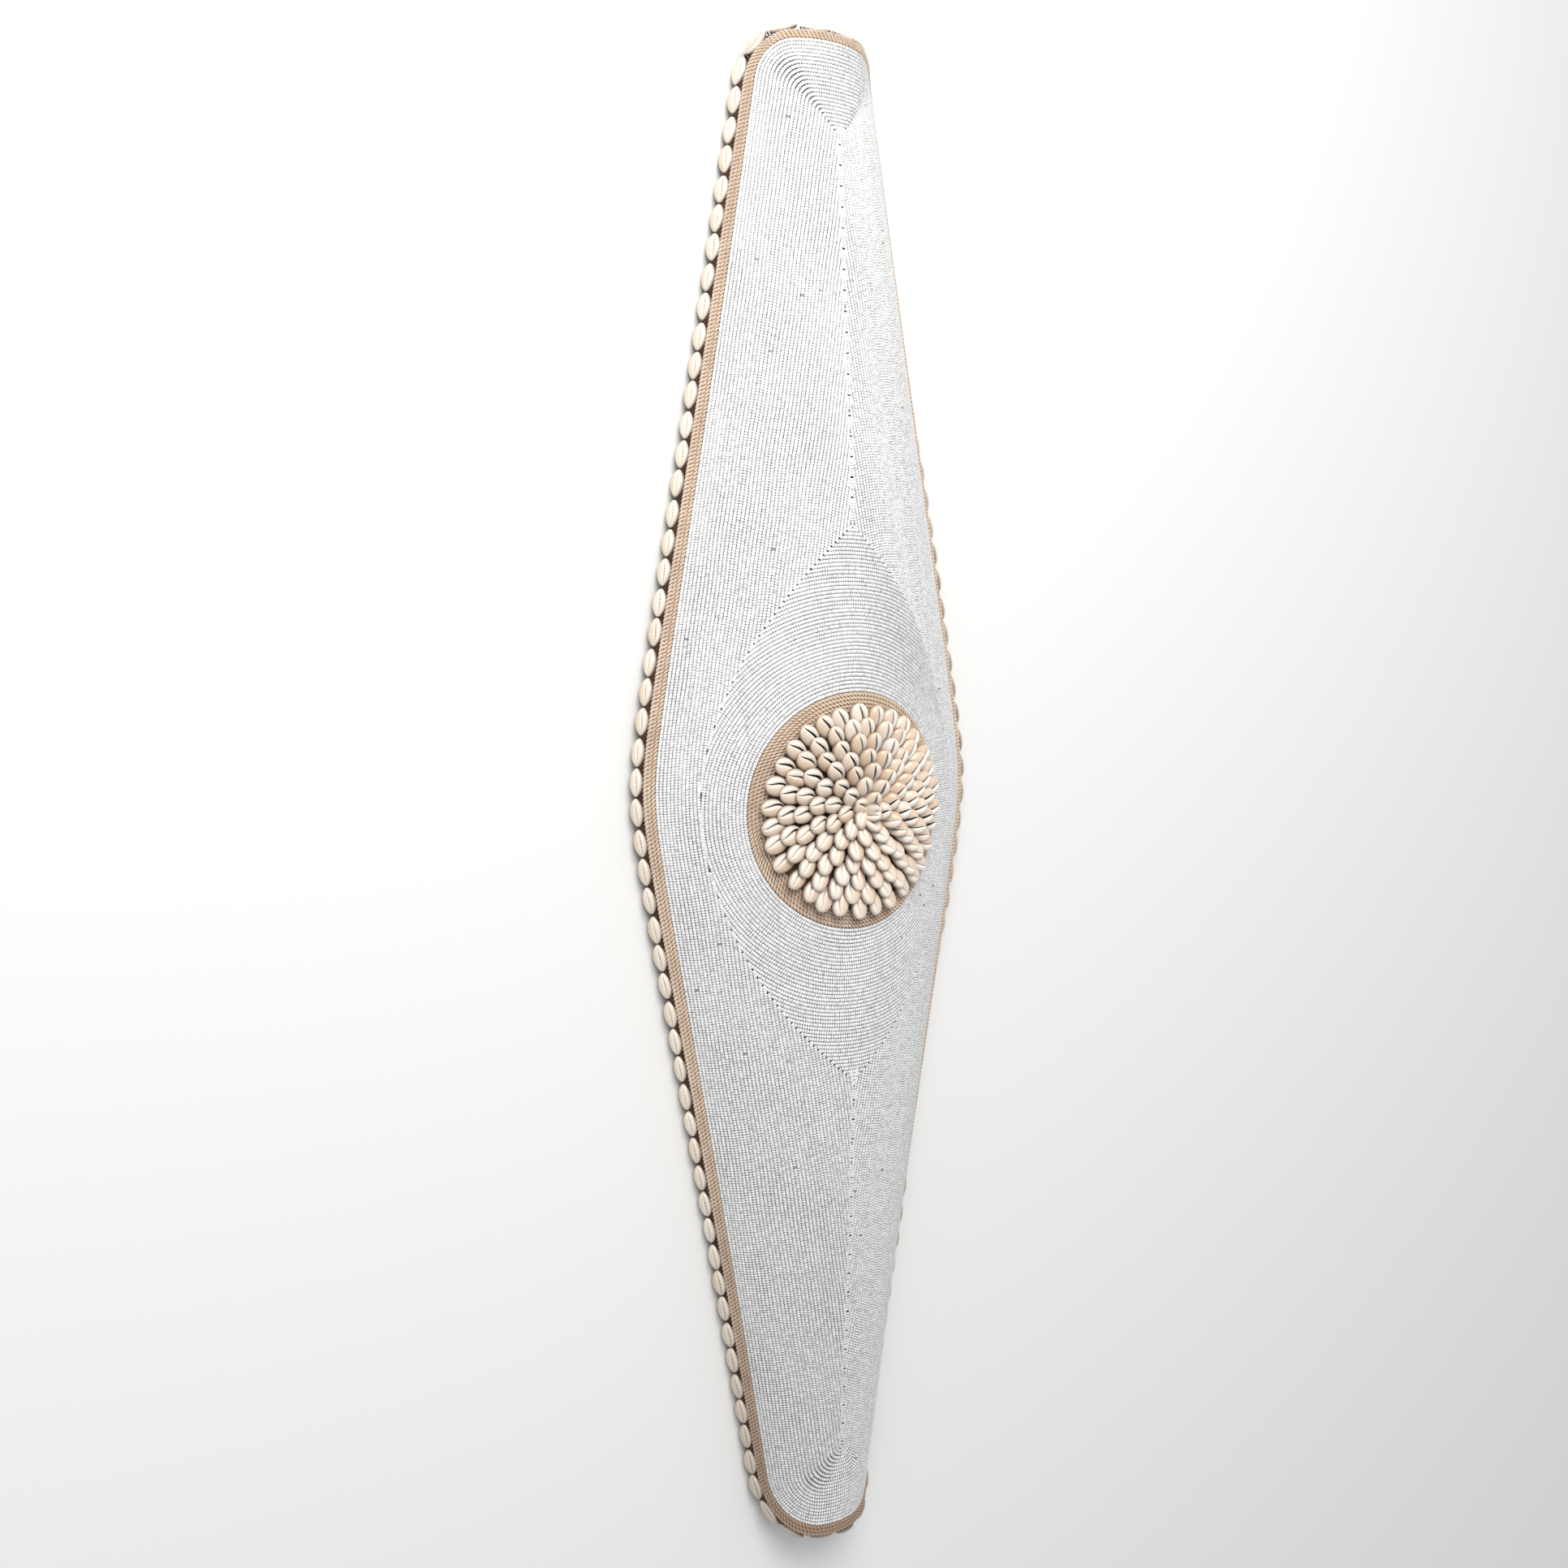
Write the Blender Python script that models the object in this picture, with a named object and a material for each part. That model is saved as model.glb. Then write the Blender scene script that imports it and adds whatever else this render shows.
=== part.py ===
"""Long beaded shield with a cowrie boss, lying on its rim with the front up.

Metres, +Z up.  X runs across the shield, Y along it with the squarer end at +Y.
The origin is on the underside of the rim, in the middle of the shield.
"""
import math

import bmesh
import bpy
from mathutils import Vector

# Beaded front: an arched sheet that tapers from its widest place to both ends
FIELD_LENGTH = 1.0945
WIDEST_FROM_TOP = 0.532
MIDDLE_HALF_WIDTH = 0.1365
MIDDLE_RISE = 0.0547
TOP_HALF_WIDTH = 0.0468
TOP_RISE = 0.0264
BOTTOM_HALF_WIDTH = 0.0415
BOTTOM_RISE = 0.0266
WIDEST_SOFTENING = 0.033
TOP_CORNER_RADIUS = 0.031
BOTTOM_CORNER_RADIUS = 0.047

# Board and its layers
BEAD_EDGE_HEIGHT = 0.0215
BOARD_THICKNESS = 0.010
RIM_WIDTH = 0.012
CLOTH_THICKNESS = 0.0009
CLOTH_HEM_HEIGHT = 0.0020
BEAD_HEIGHT = 0.0022
GAP = 0.0003

# Twine
TWINE_DIAMETER = 0.0026
TWINE_SEAT = 0.0008
EDGE_STRANDS = 3
BOSS_TURNS = 5

# Cowries sewn end to end round the side wall
EDGE_SHELL_PITCH = 0.0213
EDGE_SHELL_WIDTH = 0.0128
EDGE_SHELL_THICKNESS = 0.0065
EDGE_SHELL_DROP = 0.0062
NECK_WIDTH = 0.22
NECK_THICKNESS = 0.30
SHOULDER_SHARE = 0.23

# Boss in the middle
BOSS_FROM_TOP = 0.5460
BOSS_RADIUS = 0.0857
CUSHION_HEIGHT = 0.0050
CUSHION_EDGE = 0.0012
BOSS_RINGS = 7
BOSS_SHELL_REACH = 0.0785
BOSS_SHELL_LENGTH = 0.0190
BOSS_SHELL_WIDTH = 0.0145
BOSS_SHELL_THICKNESS = 0.0068
BOSS_RING_STEP = 0.0103
OUTER_LEAN = math.radians(12.0)
INNER_LEAN = math.radians(75.0)

# Levels of the layers, measured from the middle of the beadwork along the surface's normal
BEAD_TOP = BEAD_HEIGHT / 2
BEAD_BOTTOM = -BEAD_HEIGHT / 2
CLOTH_TOP = BEAD_BOTTOM - GAP
CLOTH_BOTTOM = CLOTH_TOP - CLOTH_THICKNESS
BOARD_TOP = CLOTH_BOTTOM - GAP
HOLLOW_TOP = BOARD_TOP - BOARD_THICKNESS

# Outlines, measured outwards from the edge of the beads
TWINE_PITCH = TWINE_DIAMETER + GAP
BAND_WIDTH = EDGE_STRANDS * TWINE_PITCH + GAP
CLOTH_INSIDE = BAND_WIDTH - CLOTH_THICKNESS
BOARD_EDGE = CLOTH_INSIDE - GAP

TOP_LENGTH = WIDEST_FROM_TOP
BOTTOM_LENGTH = FIELD_LENGTH - WIDEST_FROM_TOP
MIDDLE_OF_BOX = (TOP_LENGTH - BOTTOM_LENGTH) / 2
BOSS_MIDDLE = TOP_LENGTH - BOSS_FROM_TOP

COLUMN_SHARE = 0.22
COLUMNS = 6
ROW_SHARES = (0.06, 0.20, 0.40, 0.62, 0.83)
WELD = 1e-6
CORNER_STEPS = 4
SIDE_STEPS = 1
END_STEPS = 5
BOSS_STEPS = 28


def arc_of(half_width, rise):
    """Half angle and half length of the arc with this half width and rise."""
    angle = 2 * math.atan2(rise, half_width)
    radius = (half_width ** 2 + rise ** 2) / (2 * rise)
    return angle, radius * angle


MIDDLE_ARC = arc_of(MIDDLE_HALF_WIDTH, MIDDLE_RISE)
TOP_ARC = arc_of(TOP_HALF_WIDTH, TOP_RISE)
BOTTOM_ARC = arc_of(BOTTOM_HALF_WIDTH, BOTTOM_RISE)


def soft_distance(v):
    """Distance from the widest place, rounded off where the two tapers meet."""
    return math.hypot(v, WIDEST_SOFTENING) - WIDEST_SOFTENING


def arc_at(v):
    """Half angle and half arc length of the front at v metres above the widest place."""
    end, length = (TOP_ARC, TOP_LENGTH) if v > 0 else (BOTTOM_ARC, BOTTOM_LENGTH)
    share = soft_distance(v) / soft_distance(length)
    return tuple(m + (e - m) * share for m, e in zip(MIDDLE_ARC, end))


def place(s, v, lift):
    """Point on the front, s along the arc from the middle line and lift above the surface."""
    angle, half_arc = arc_at(v)
    radius = half_arc / angle
    turn = s / radius
    height = BEAD_EDGE_HEIGHT - radius * math.cos(angle) + (radius + lift) * math.cos(turn)
    return Vector(((radius + lift) * math.sin(turn), v - MIDDLE_OF_BOX, height))


def taper(v):
    """Slant of the flattened side line, as an angle from the shield's length."""
    end, length = (TOP_ARC, TOP_LENGTH) if v > 0 else (BOTTOM_ARC, BOTTOM_LENGTH)
    steepness = abs(v) / math.hypot(v, WIDEST_SOFTENING)
    return math.atan2((MIDDLE_ARC[1] - end[1]) * steepness, soft_distance(length))


def side_half(v, grow):
    """Half width of the flattened outline away from its corners."""
    return arc_at(v)[1] + grow / math.cos(taper(v))


def corner(end, grow, steps):
    """Rounded corner of the flattened outline, from the side to the end, on the right."""
    top = end > 0
    length = TOP_LENGTH if top else BOTTOM_LENGTH
    radius = TOP_CORNER_RADIUS if top else BOTTOM_CORNER_RADIUS
    end_arc = (TOP_ARC if top else BOTTOM_ARC)[1]
    slant = taper(end * length)
    centre_v = length - radius
    centre_s = end_arc + radius * math.tan(slant) - radius / math.cos(slant)
    points = []
    for i in range(steps + 1):
        a = slant + (math.pi / 2 - slant) * i / steps
        reach = radius + grow
        points.append((centre_s + reach * math.cos(a), end * (centre_v + reach * math.sin(a))))
    return points


def right_side(grow, corner_steps=CORNER_STEPS, side_steps=SIDE_STEPS):
    """Flattened right-hand outline, from the bottom end to the top end."""
    bottom = corner(-1, grow, corner_steps)[::-1]
    top = corner(1, grow, corner_steps)
    places = [bottom[-1][1]] + row_places() + [top[0][1]]
    side = []
    for start, stop in zip(places, places[1:]):
        for i in range(side_steps):
            v = start + (stop - start) * i / side_steps
            side.append((side_half(v, grow), v))
    return bottom + side[1:] + top


def row_places():
    """Places along the shield where the side outline bends, the same on every layer."""
    low = [-BOTTOM_LENGTH * share for share in reversed(ROW_SHARES)]
    return low + [0.0] + [TOP_LENGTH * share for share in ROW_SHARES]


def outline(grow, corner_steps=CORNER_STEPS, side_steps=SIDE_STEPS, end_steps=END_STEPS):
    """Whole flattened outline, anticlockwise from the right of the bottom end."""
    right = right_side(grow, corner_steps, side_steps)
    left = [(-s, v) for s, v in reversed(right)]
    top = across(right[-1], left[0], end_steps)
    bottom = across(left[-1], right[0], end_steps)
    return right + top + left + bottom


def across(first, last, steps):
    """Points between two outline points, without those two."""
    return [tuple(a + (b - a) * i / steps for a, b in zip(first, last)) for i in range(1, steps)]


def outward(points, i):
    """Outward direction of a closed flattened outline at its point i."""
    before, after = points[i - 1], points[(i + 1) % len(points)]
    ds, dv = after[0] - before[0], after[1] - before[1]
    size = math.hypot(ds, dv)
    return dv / size, -ds / size


def material(name, colour, roughness, metallic=0.0):
    """Principled material of one piece."""
    finish = bpy.data.materials.new(name)
    finish.use_nodes = True
    shader = finish.node_tree.nodes["Principled BSDF"]
    shader.inputs["Base Color"].default_value = (*colour, 1.0)
    shader.inputs["Roughness"].default_value = roughness
    shader.inputs["Metallic"].default_value = metallic
    finish.diffuse_color = (*colour, 1.0)
    return finish


def add_object(name, vertices, faces, finish=None, smooth_angle=40.0):
    """Mesh object with its faces pointing out."""
    mesh = bpy.data.meshes.new(name)
    bm = bmesh.new()
    verts = [bm.verts.new(p) for p in vertices]
    for face in faces:
        bm.faces.new([verts[i] for i in face])
    bmesh.ops.recalc_face_normals(bm, faces=bm.faces)
    bm.to_mesh(mesh)
    bm.free()
    mesh.shade_smooth()
    mesh.set_sharp_from_angle(angle=math.radians(smooth_angle))
    if finish:
        mesh.materials.append(finish)
    piece = bpy.data.objects.new(name, mesh)
    bpy.context.scene.collection.objects.link(piece)
    return piece


def cut(piece, cutter):
    """Take the cutter's shape out of a piece."""
    cutter.hide_render = True
    cutter.display_type = "WIRE"
    difference = piece.modifiers.new("cut by " + cutter.name, "BOOLEAN")
    difference.operation = "DIFFERENCE"
    difference.solver = "EXACT"
    difference.object = cutter


def clip(cell, edge):
    """Part of a flat cell inside a closed outline that bulges outwards everywhere."""
    for i, (s0, v0) in enumerate(edge):
        s1, v1 = edge[(i + 1) % len(edge)]
        kept = []
        for k, (s, v) in enumerate(cell):
            before = cell[k - 1]
            now = (s1 - s0) * (v - v0) - (v1 - v0) * (s - s0)
            then = (s1 - s0) * (before[1] - v0) - (v1 - v0) * (before[0] - s0)
            if (now >= 0) != (then >= 0):
                share = then / (then - now)
                kept.append(tuple(p + (q - p) * share for p, q in zip(before, (s, v))))
            if now >= 0:
                kept.append((s, v))
        cell = kept
        if len(cell) < 3:
            return []
    return cell


def front_rows():
    """Places of the rows of cells along the shield, the same on every layer."""
    past = BAND_WIDTH + RIM_WIDTH
    return [-BOTTOM_LENGTH - past] + row_places() + [TOP_LENGTH + past]


def front_columns():
    """Places of the columns across the shield, as shares of its half width."""
    return [COLUMN_SHARE * i for i in range(-COLUMNS, COLUMNS + 1)]


def share_out(point, corners):
    """Shares of a triangle's three corners that add up to a flat point in it."""
    (s0, v0), (s1, v1), (s2, v2) = corners
    whole = (s1 - s0) * (v2 - v0) - (s2 - s0) * (v1 - v0)
    s, v = point
    second = ((s - s0) * (v2 - v0) - (s2 - s0) * (v - v0)) / whole
    third = ((s1 - s0) * (v - v0) - (s - s0) * (v1 - v0)) / whole
    return 1.0 - second - third, second, third


def front_cells(grow):
    """Points and triangles that cover the front inside an outline.

    A point is three shares of a cell's corners, so that the facets of all layers are parallel.
    """
    edge = outline(grow, end_steps=1)
    rows, columns = front_rows(), front_columns()
    numbers, points, triangles = {}, [], []
    for v0, v1 in zip(rows, rows[1:]):
        h0, h1 = side_half(v0, 0.0), side_half(v1, 0.0)
        for u0, u1 in zip(columns, columns[1:]):
            a, b, c, d = (u0 * h0, v0), (u1 * h0, v0), (u1 * h1, v1), (u0 * h1, v1)
            for corners in ((a, b, c), (a, c, d)):
                found = []
                for s, v in clip(list(corners), edge):
                    key = (round(s / WELD), round(v / WELD))
                    if key not in numbers:
                        numbers[key] = len(points)
                        points.append((share_out((s, v), corners), corners))
                    if numbers[key] not in found:
                        found.append(numbers[key])
                for k in range(1, len(found) - 1):
                    triangles.append((found[0], found[k], found[k + 1]))
    return points, triangles


def lift_cells(points, lift):
    """Points of the cells at a level above the middle of the beadwork."""
    result = []
    for shares, corners in points:
        places = [place(s, v, lift) for s, v in corners]
        result.append(sum((p * share for p, share in zip(places, shares)), Vector()))
    return result


def open_edges(triangles):
    """Edges that only one triangle has, in that triangle's direction."""
    edges = {(t[k], t[(k + 1) % 3]) for t in triangles for k in range(3)}
    return sorted(e for e in edges if (e[1], e[0]) not in edges)


def add_arched_block(name, grow, lift, floor, finish=None):
    """Solid under the arched front, with upright sides down to a flat floor."""
    points, triangles = front_cells(grow)
    top = lift_cells(points, lift)
    foot = [Vector((p.x, p.y, floor)) for p in top]
    rim = open_edges(triangles)
    numbers = sorted({i for edge in rim for i in edge})
    below = {i: len(top) + k for k, i in enumerate(numbers)}
    following = dict(rim)
    loop = [numbers[0]]
    while following[loop[-1]] != loop[0]:
        loop.append(following[loop[-1]])
    faces = list(triangles)
    faces += [(b, a, below[a], below[b]) for a, b in rim]
    faces.append(tuple(below[i] for i in reversed(loop)))
    return add_object(name, top + [foot[i] for i in numbers], faces, finish)


def add_arched_sheet(name, grow, low, high, finish=None):
    """Sheet of even thickness that follows the arched front."""
    points, triangles = front_cells(grow)
    count = len(points)
    vertices = lift_cells(points, high) + lift_cells(points, low)
    faces = triangles + [(count + c, count + b, count + a) for a, b, c in triangles]
    faces += [(b, a, count + a, count + b) for a, b in open_edges(triangles)]
    return add_object(name, vertices, faces, finish)


def add_sweep(name, rings, finish, closed=True):
    """Skin over rings of points that all have the same number of points."""
    side = len(rings[0])
    vertices = [p for ring in rings for p in ring]
    faces = []
    spans = len(rings) if closed else len(rings) - 1
    for j in range(spans):
        a, b = j * side, ((j + 1) % len(rings)) * side
        for i in range(side):
            k = (i + 1) % side
            faces.append((a + i, a + k, b + k, b + i))
    if not closed:
        faces.append(tuple(reversed(range(side))))
        faces.append(tuple(range((len(rings) - 1) * side, len(rings) * side)))
    return add_object(name, vertices, faces, finish)


def boss_point(radius, turn, lift):
    """Point of the boss at a radius and angle on the front, lift above the cloth."""
    return place(radius * math.cos(turn), BOSS_MIDDLE + radius * math.sin(turn), CLOTH_TOP + lift)


def add_board():
    """Carved wooden board: arched outside, hollow behind, flat under its rim."""
    wood = material("carved wood", (0.20, 0.12, 0.07), 0.75)
    board = add_arched_block("wooden_board", BOARD_EDGE, BOARD_TOP, 0.0, wood)
    hollow = add_arched_block("hollow_cutter", BOARD_EDGE - RIM_WIDTH, HOLLOW_TOP, -RIM_WIDTH)
    cut(board, hollow)


def add_cloth():
    """Dark cloth stretched over the front and down the side wall."""
    cloth = material("dark cloth", (0.07, 0.035, 0.022), 0.95)
    cover = add_arched_block("base_cloth", BAND_WIDTH, CLOTH_TOP, CLOTH_HEM_HEIGHT, cloth)
    inside = add_arched_block("cloth_cutter", CLOTH_INSIDE, CLOTH_BOTTOM, -CLOTH_HEM_HEIGHT)
    cut(cover, inside)


def add_boss_turned(name, profile, steps, finish=None):
    """Round solid on the front: a profile of radius and lift, from one pole to the other."""
    vertices = [boss_point(0.0, 0.0, profile[0][1]), boss_point(0.0, 0.0, profile[-1][1])]
    ring = profile[1:-1]
    for i in range(steps):
        turn = 2 * math.pi * (i + 0.5) / steps
        vertices += [boss_point(radius, turn, lift) for radius, lift in ring]
    faces = []
    for i in range(steps):
        a = 2 + i * len(ring)
        b = 2 + (i + 1) % steps * len(ring)
        for k in range(len(ring) - 1):
            faces.append((a + k, b + k, b + k + 1, a + k + 1))
        faces.append((0, b, a))
        faces.append((1, a + len(ring) - 1, b + len(ring) - 1))
    return add_object(name, vertices, faces, finish)


def add_bead_field():
    """Layer of seed beads over the front, with a round opening for the boss."""
    glass = material("white glass beads", (0.86, 0.87, 0.88), 0.30)
    field = add_arched_sheet("bead_field", 0.0, BEAD_BOTTOM, BEAD_TOP, glass)
    radius = BOSS_RADIUS + GAP
    low = -BOARD_THICKNESS
    high = BOARD_THICKNESS
    profile = [(0.0, low), (radius, low), (radius, high), (0.0, high)]
    cut(field, add_boss_turned("boss_opening_cutter", profile, BOSS_STEPS))


def add_edge_twine():
    """Strands of twine laid side by side along the edge, outside the beads."""
    sides = 4
    radius = TWINE_DIAMETER / 2
    names = ("inner", "middle", "outer")
    for strand in range(EDGE_STRANDS):
        label = names[strand] if strand < len(names) else str(strand + 1)
        twine = material("tan twine " + label, (0.45, 0.31, 0.20), 0.9)
        grow = GAP + TWINE_PITCH * strand + radius
        path = outline(grow)
        rings = []
        for i, (s, v) in enumerate(path):
            out_s, out_v = outward(path, i)
            ring = []
            for k in range(sides):
                a = 2 * math.pi * (k + 0.5) / sides
                e, h = radius * math.cos(a), radius * (1 + math.sin(a))
                ring.append(place(s + e * out_s, v + e * out_v, CLOTH_TOP + TWINE_SEAT + h))
            rings.append(ring)
        add_sweep("edge_twine_" + label, rings, twine)


def edge_path():
    """Close points along the line of shells: place, outward, downward and forward."""
    flat = outline(BAND_WIDTH, 4 * CORNER_STEPS, 8 * SIDE_STEPS, 6 * END_STEPS)
    curve = [place(s, v, CLOTH_TOP) for s, v in flat]
    count = len(curve)
    frames = []
    for i in range(count):
        along = (curve[(i + 1) % count] - curve[i - 1]).normalized()
        out = Vector((along.y, -along.x, 0.0)).normalized()
        down = out.cross(along).normalized()
        if down.z > 0:
            down = -down
        frames.append((curve[i] + down * EDGE_SHELL_DROP, out, down, along))
    return frames


def walk(frames, distances):
    """Frames at these distances along a closed line of frames."""
    count = len(frames)
    lengths = [(frames[(i + 1) % count][0] - frames[i][0]).length for i in range(count)]
    result = []
    i, passed = 0, 0.0
    for distance in distances:
        while i < count - 1 and passed + lengths[i] < distance:
            passed += lengths[i]
            i += 1
        share = min(max((distance - passed) / lengths[i], 0.0), 1.0)
        first, last = frames[i], frames[(i + 1) % count]
        result.append(tuple(a.lerp(b, share) for a, b in zip(first, last)))
    return result, sum(lengths)


def edge_shell_ring(place_at, out, down, width_share, thickness_share):
    """Cross-section of a shell on the wall: flat back, rounded front."""
    half = EDGE_SHELL_WIDTH / 2 * width_share
    proud = EDGE_SHELL_THICKNESS * thickness_share
    section = ((-1.0, 0.0), (-0.5, 1.0), (0.5, 1.0), (1.0, 0.0))
    return [place_at + down * (half * a) + out * (GAP + proud * b) for a, b in section]


def add_edge_cowries():
    """Strings of cowries round the side wall: one down each side and one over each end."""
    shell = material("edge cowrie shell", (0.83, 0.74, 0.60), 0.35)
    frames = edge_path()
    total = walk(frames, [0.0])[1]
    count = round(total / EDGE_SHELL_PITCH)
    pitch = total / count
    middles, _ = walk(frames, [pitch * (i + 0.5) for i in range(count)])
    runs = [run_of(frame[0]) for frame in middles]
    first = next(i for i in range(count) if runs[i] != runs[i - 1])
    strings = []
    for k in range(count):
        i = (first + k) % count
        if not strings or strings[-1][0] != runs[i]:
            strings.append((runs[i], []))
        strings[-1][1].append(i)
    for name, members in strings:
        rings = []
        for i in members:
            inset = GAP if i == members[0] else 0.0
            neck = walk(frames, [pitch * i + inset])[0][0]
            rings.append(edge_shell_ring(*neck[:3], NECK_WIDTH, NECK_THICKNESS))
            middle, out, down, along = middles[i]
            for side in (-1, 1):
                shoulder = middle + along * (side * SHOULDER_SHARE * pitch)
                rings.append(edge_shell_ring(shoulder, out, down, 1.0, 1.0))
        neck = walk(frames, [pitch * (members[-1] + 1) - GAP])[0][0]
        rings.append(edge_shell_ring(*neck[:3], NECK_WIDTH, NECK_THICKNESS))
        add_sweep("edge_cowries_" + name, rings, shell, closed=False)


def run_of(point):
    """Name of the run of shells that a point of the edge belongs to."""
    end_line = (FIELD_LENGTH + BAND_WIDTH) / 2 - EDGE_SHELL_PITCH / 2
    if point.y > end_line:
        return "top"
    if point.y < -end_line:
        return "bottom"
    return "right" if point.x > 0 else "left"


def cushion_height(radius):
    """Height of the boss cushion above the cloth at a radius."""
    share = min(radius / cushion_radius(), 1.0)
    return CUSHION_EDGE + (CUSHION_HEIGHT - CUSHION_EDGE) * (1 - share * share)


def cushion_radius():
    """Outer radius of the cushion, inside the turns of twine."""
    return BOSS_RADIUS - GAP - BOSS_TURNS * TWINE_PITCH


def add_boss_cushion():
    """Low padded mound that carries the shells of the boss."""
    pad = material("cushion cloth", (0.12, 0.075, 0.05), 0.95)
    under_steps = 5
    over_steps = 3
    profile = [(0.0, GAP)]
    for step in range(1, under_steps + 1):
        profile.append((cushion_radius() * step / under_steps, GAP))
    for step in range(over_steps, 0, -1):
        radius = cushion_radius() * step / over_steps
        profile.append((radius, cushion_height(radius)))
    profile.append((0.0, cushion_height(0.0)))
    add_boss_turned("boss_cushion", profile, BOSS_STEPS, pad)


def add_boss_twine():
    """Turns of one length of twine, laid flat round the cushion inside the beads."""
    twine = material("tan twine of the boss", (0.45, 0.31, 0.20), 0.9)
    radius = TWINE_DIAMETER / 2
    inner = cushion_radius() + GAP
    outer = BOSS_RADIUS - GAP
    pitch = (outer - inner) / BOSS_TURNS
    section = [(inner, GAP)]
    for turn in range(BOSS_TURNS):
        middle = inner + pitch * (turn + 0.5)
        for lean in (-1, 0, 1):
            a = math.radians(55.0) * lean
            section.append((middle + pitch / 2 * math.sin(a), GAP + radius * (1 + math.cos(a))))
    section.append((outer, GAP))
    rings = []
    for i in range(BOSS_STEPS):
        around = 2 * math.pi * (i + 0.5) / BOSS_STEPS
        rings.append([boss_point(reach, around, lift) for reach, lift in section])
    add_sweep("boss_twine", rings, twine)


# Shell section along its length and up from its underside, as shares of length and thickness
SHELL_CREST = ((0.0, 0.0), (0.80, 0.0), (1.0, 0.40), (0.55, 1.0))
SHELL_VALLEY = ((0.0, 0.0), (0.62, 0.0), (0.72, 0.15), (0.50, 0.50))


def boss_ring_section(index, form):
    """Section of one ring of shells, as radius and lift."""
    share = index / (BOSS_RINGS - 1)
    lean = OUTER_LEAN + (INNER_LEAN - OUTER_LEAN) * share
    tip = BOSS_SHELL_REACH - BOSS_RING_STEP * index
    root = tip - BOSS_SHELL_LENGTH * math.cos(lean)
    foot = cushion_height(root) + GAP
    section = []
    for along, up in form:
        reach = BOSS_SHELL_LENGTH * along
        rise = BOSS_SHELL_THICKNESS * up
        section.append((root + reach * math.cos(lean) - rise * math.sin(lean),
                        foot + reach * math.sin(lean) + rise * math.cos(lean)))
    return section, tip


def add_boss_cowries():
    """Rings of cowries that overlap like petals, nearly flat outside and upright inside."""
    shell = material("boss cowrie shell", (0.85, 0.74, 0.58), 0.3)
    for index in range(BOSS_RINGS):
        crest, tip = boss_ring_section(index, SHELL_CREST)
        valley, _ = boss_ring_section(index, SHELL_VALLEY)
        middle = tip - BOSS_SHELL_LENGTH / 3
        count = max(round(2 * math.pi * middle / BOSS_SHELL_WIDTH), 5)
        rings = []
        for i in range(2 * count):
            turn = 2 * math.pi * (i + index) / (2 * count)
            section = valley if i % 2 else crest
            rings.append([boss_point(reach, turn, lift) for reach, lift in section])
        add_sweep(f"boss_cowries_ring_{index + 1}", rings, shell)


def clear_scene():
    """Remove every object of the scene."""
    for piece in list(bpy.data.objects):
        bpy.data.objects.remove(piece, do_unlink=True)


def main():
    """Build the whole shield."""
    clear_scene()
    add_board()
    add_cloth()
    add_bead_field()
    add_edge_twine()
    add_edge_cowries()
    add_boss_cushion()
    add_boss_twine()
    add_boss_cowries()


main()
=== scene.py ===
import math

import bpy
import numpy as np
from mathutils import Matrix, Vector, kdtree


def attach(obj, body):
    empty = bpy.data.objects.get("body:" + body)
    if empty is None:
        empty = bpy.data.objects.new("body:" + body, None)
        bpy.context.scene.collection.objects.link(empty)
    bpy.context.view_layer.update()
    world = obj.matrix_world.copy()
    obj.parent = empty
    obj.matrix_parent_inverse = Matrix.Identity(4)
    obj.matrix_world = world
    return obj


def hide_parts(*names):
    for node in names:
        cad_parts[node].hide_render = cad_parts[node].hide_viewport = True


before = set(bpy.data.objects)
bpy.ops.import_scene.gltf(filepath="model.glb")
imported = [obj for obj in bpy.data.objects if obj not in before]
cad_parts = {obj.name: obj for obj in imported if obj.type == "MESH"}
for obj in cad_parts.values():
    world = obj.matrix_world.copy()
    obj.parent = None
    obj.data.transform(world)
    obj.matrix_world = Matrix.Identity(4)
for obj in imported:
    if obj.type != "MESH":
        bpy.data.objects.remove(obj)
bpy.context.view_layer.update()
print("frame loaded:", len(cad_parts), "nodes")

mm = 0.001
chance = np.random.default_rng(11)

# Shape of the front: the sizes that the solids were made with, and how the rows and the border keep to it
front = {
    "fieldLength": 1094.5 * mm,
    "widestFromTop": 532 * mm,
    "middleHalfWidth": 136.5 * mm,
    "middleRise": 54.7 * mm,
    "topHalfWidth": 46.8 * mm,
    "topRise": 26.4 * mm,
    "bottomHalfWidth": 41.5 * mm,
    "bottomRise": 26.6 * mm,
    "softening": 33 * mm,
    "topCorner": 31 * mm,
    "bottomCorner": 47 * mm,
    "topShare": 0.62,           # share of its width that the border keeps over the top end
    "hairpin": 20 * mm,         # below this a row's corner tightens more slowly than a true offset
    "hairpinShare": 0.45,
    "beadEdgeHeight": 21.5 * mm,
}
layers = {
    "gap": 0.3 * mm,
    "beadHeight": 2.2 * mm,
    "clothThickness": 0.9 * mm,
    "hemHeight": 2.0 * mm,
    "boardThickness": 10 * mm,
    "rimWidth": 12 * mm,
}
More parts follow.
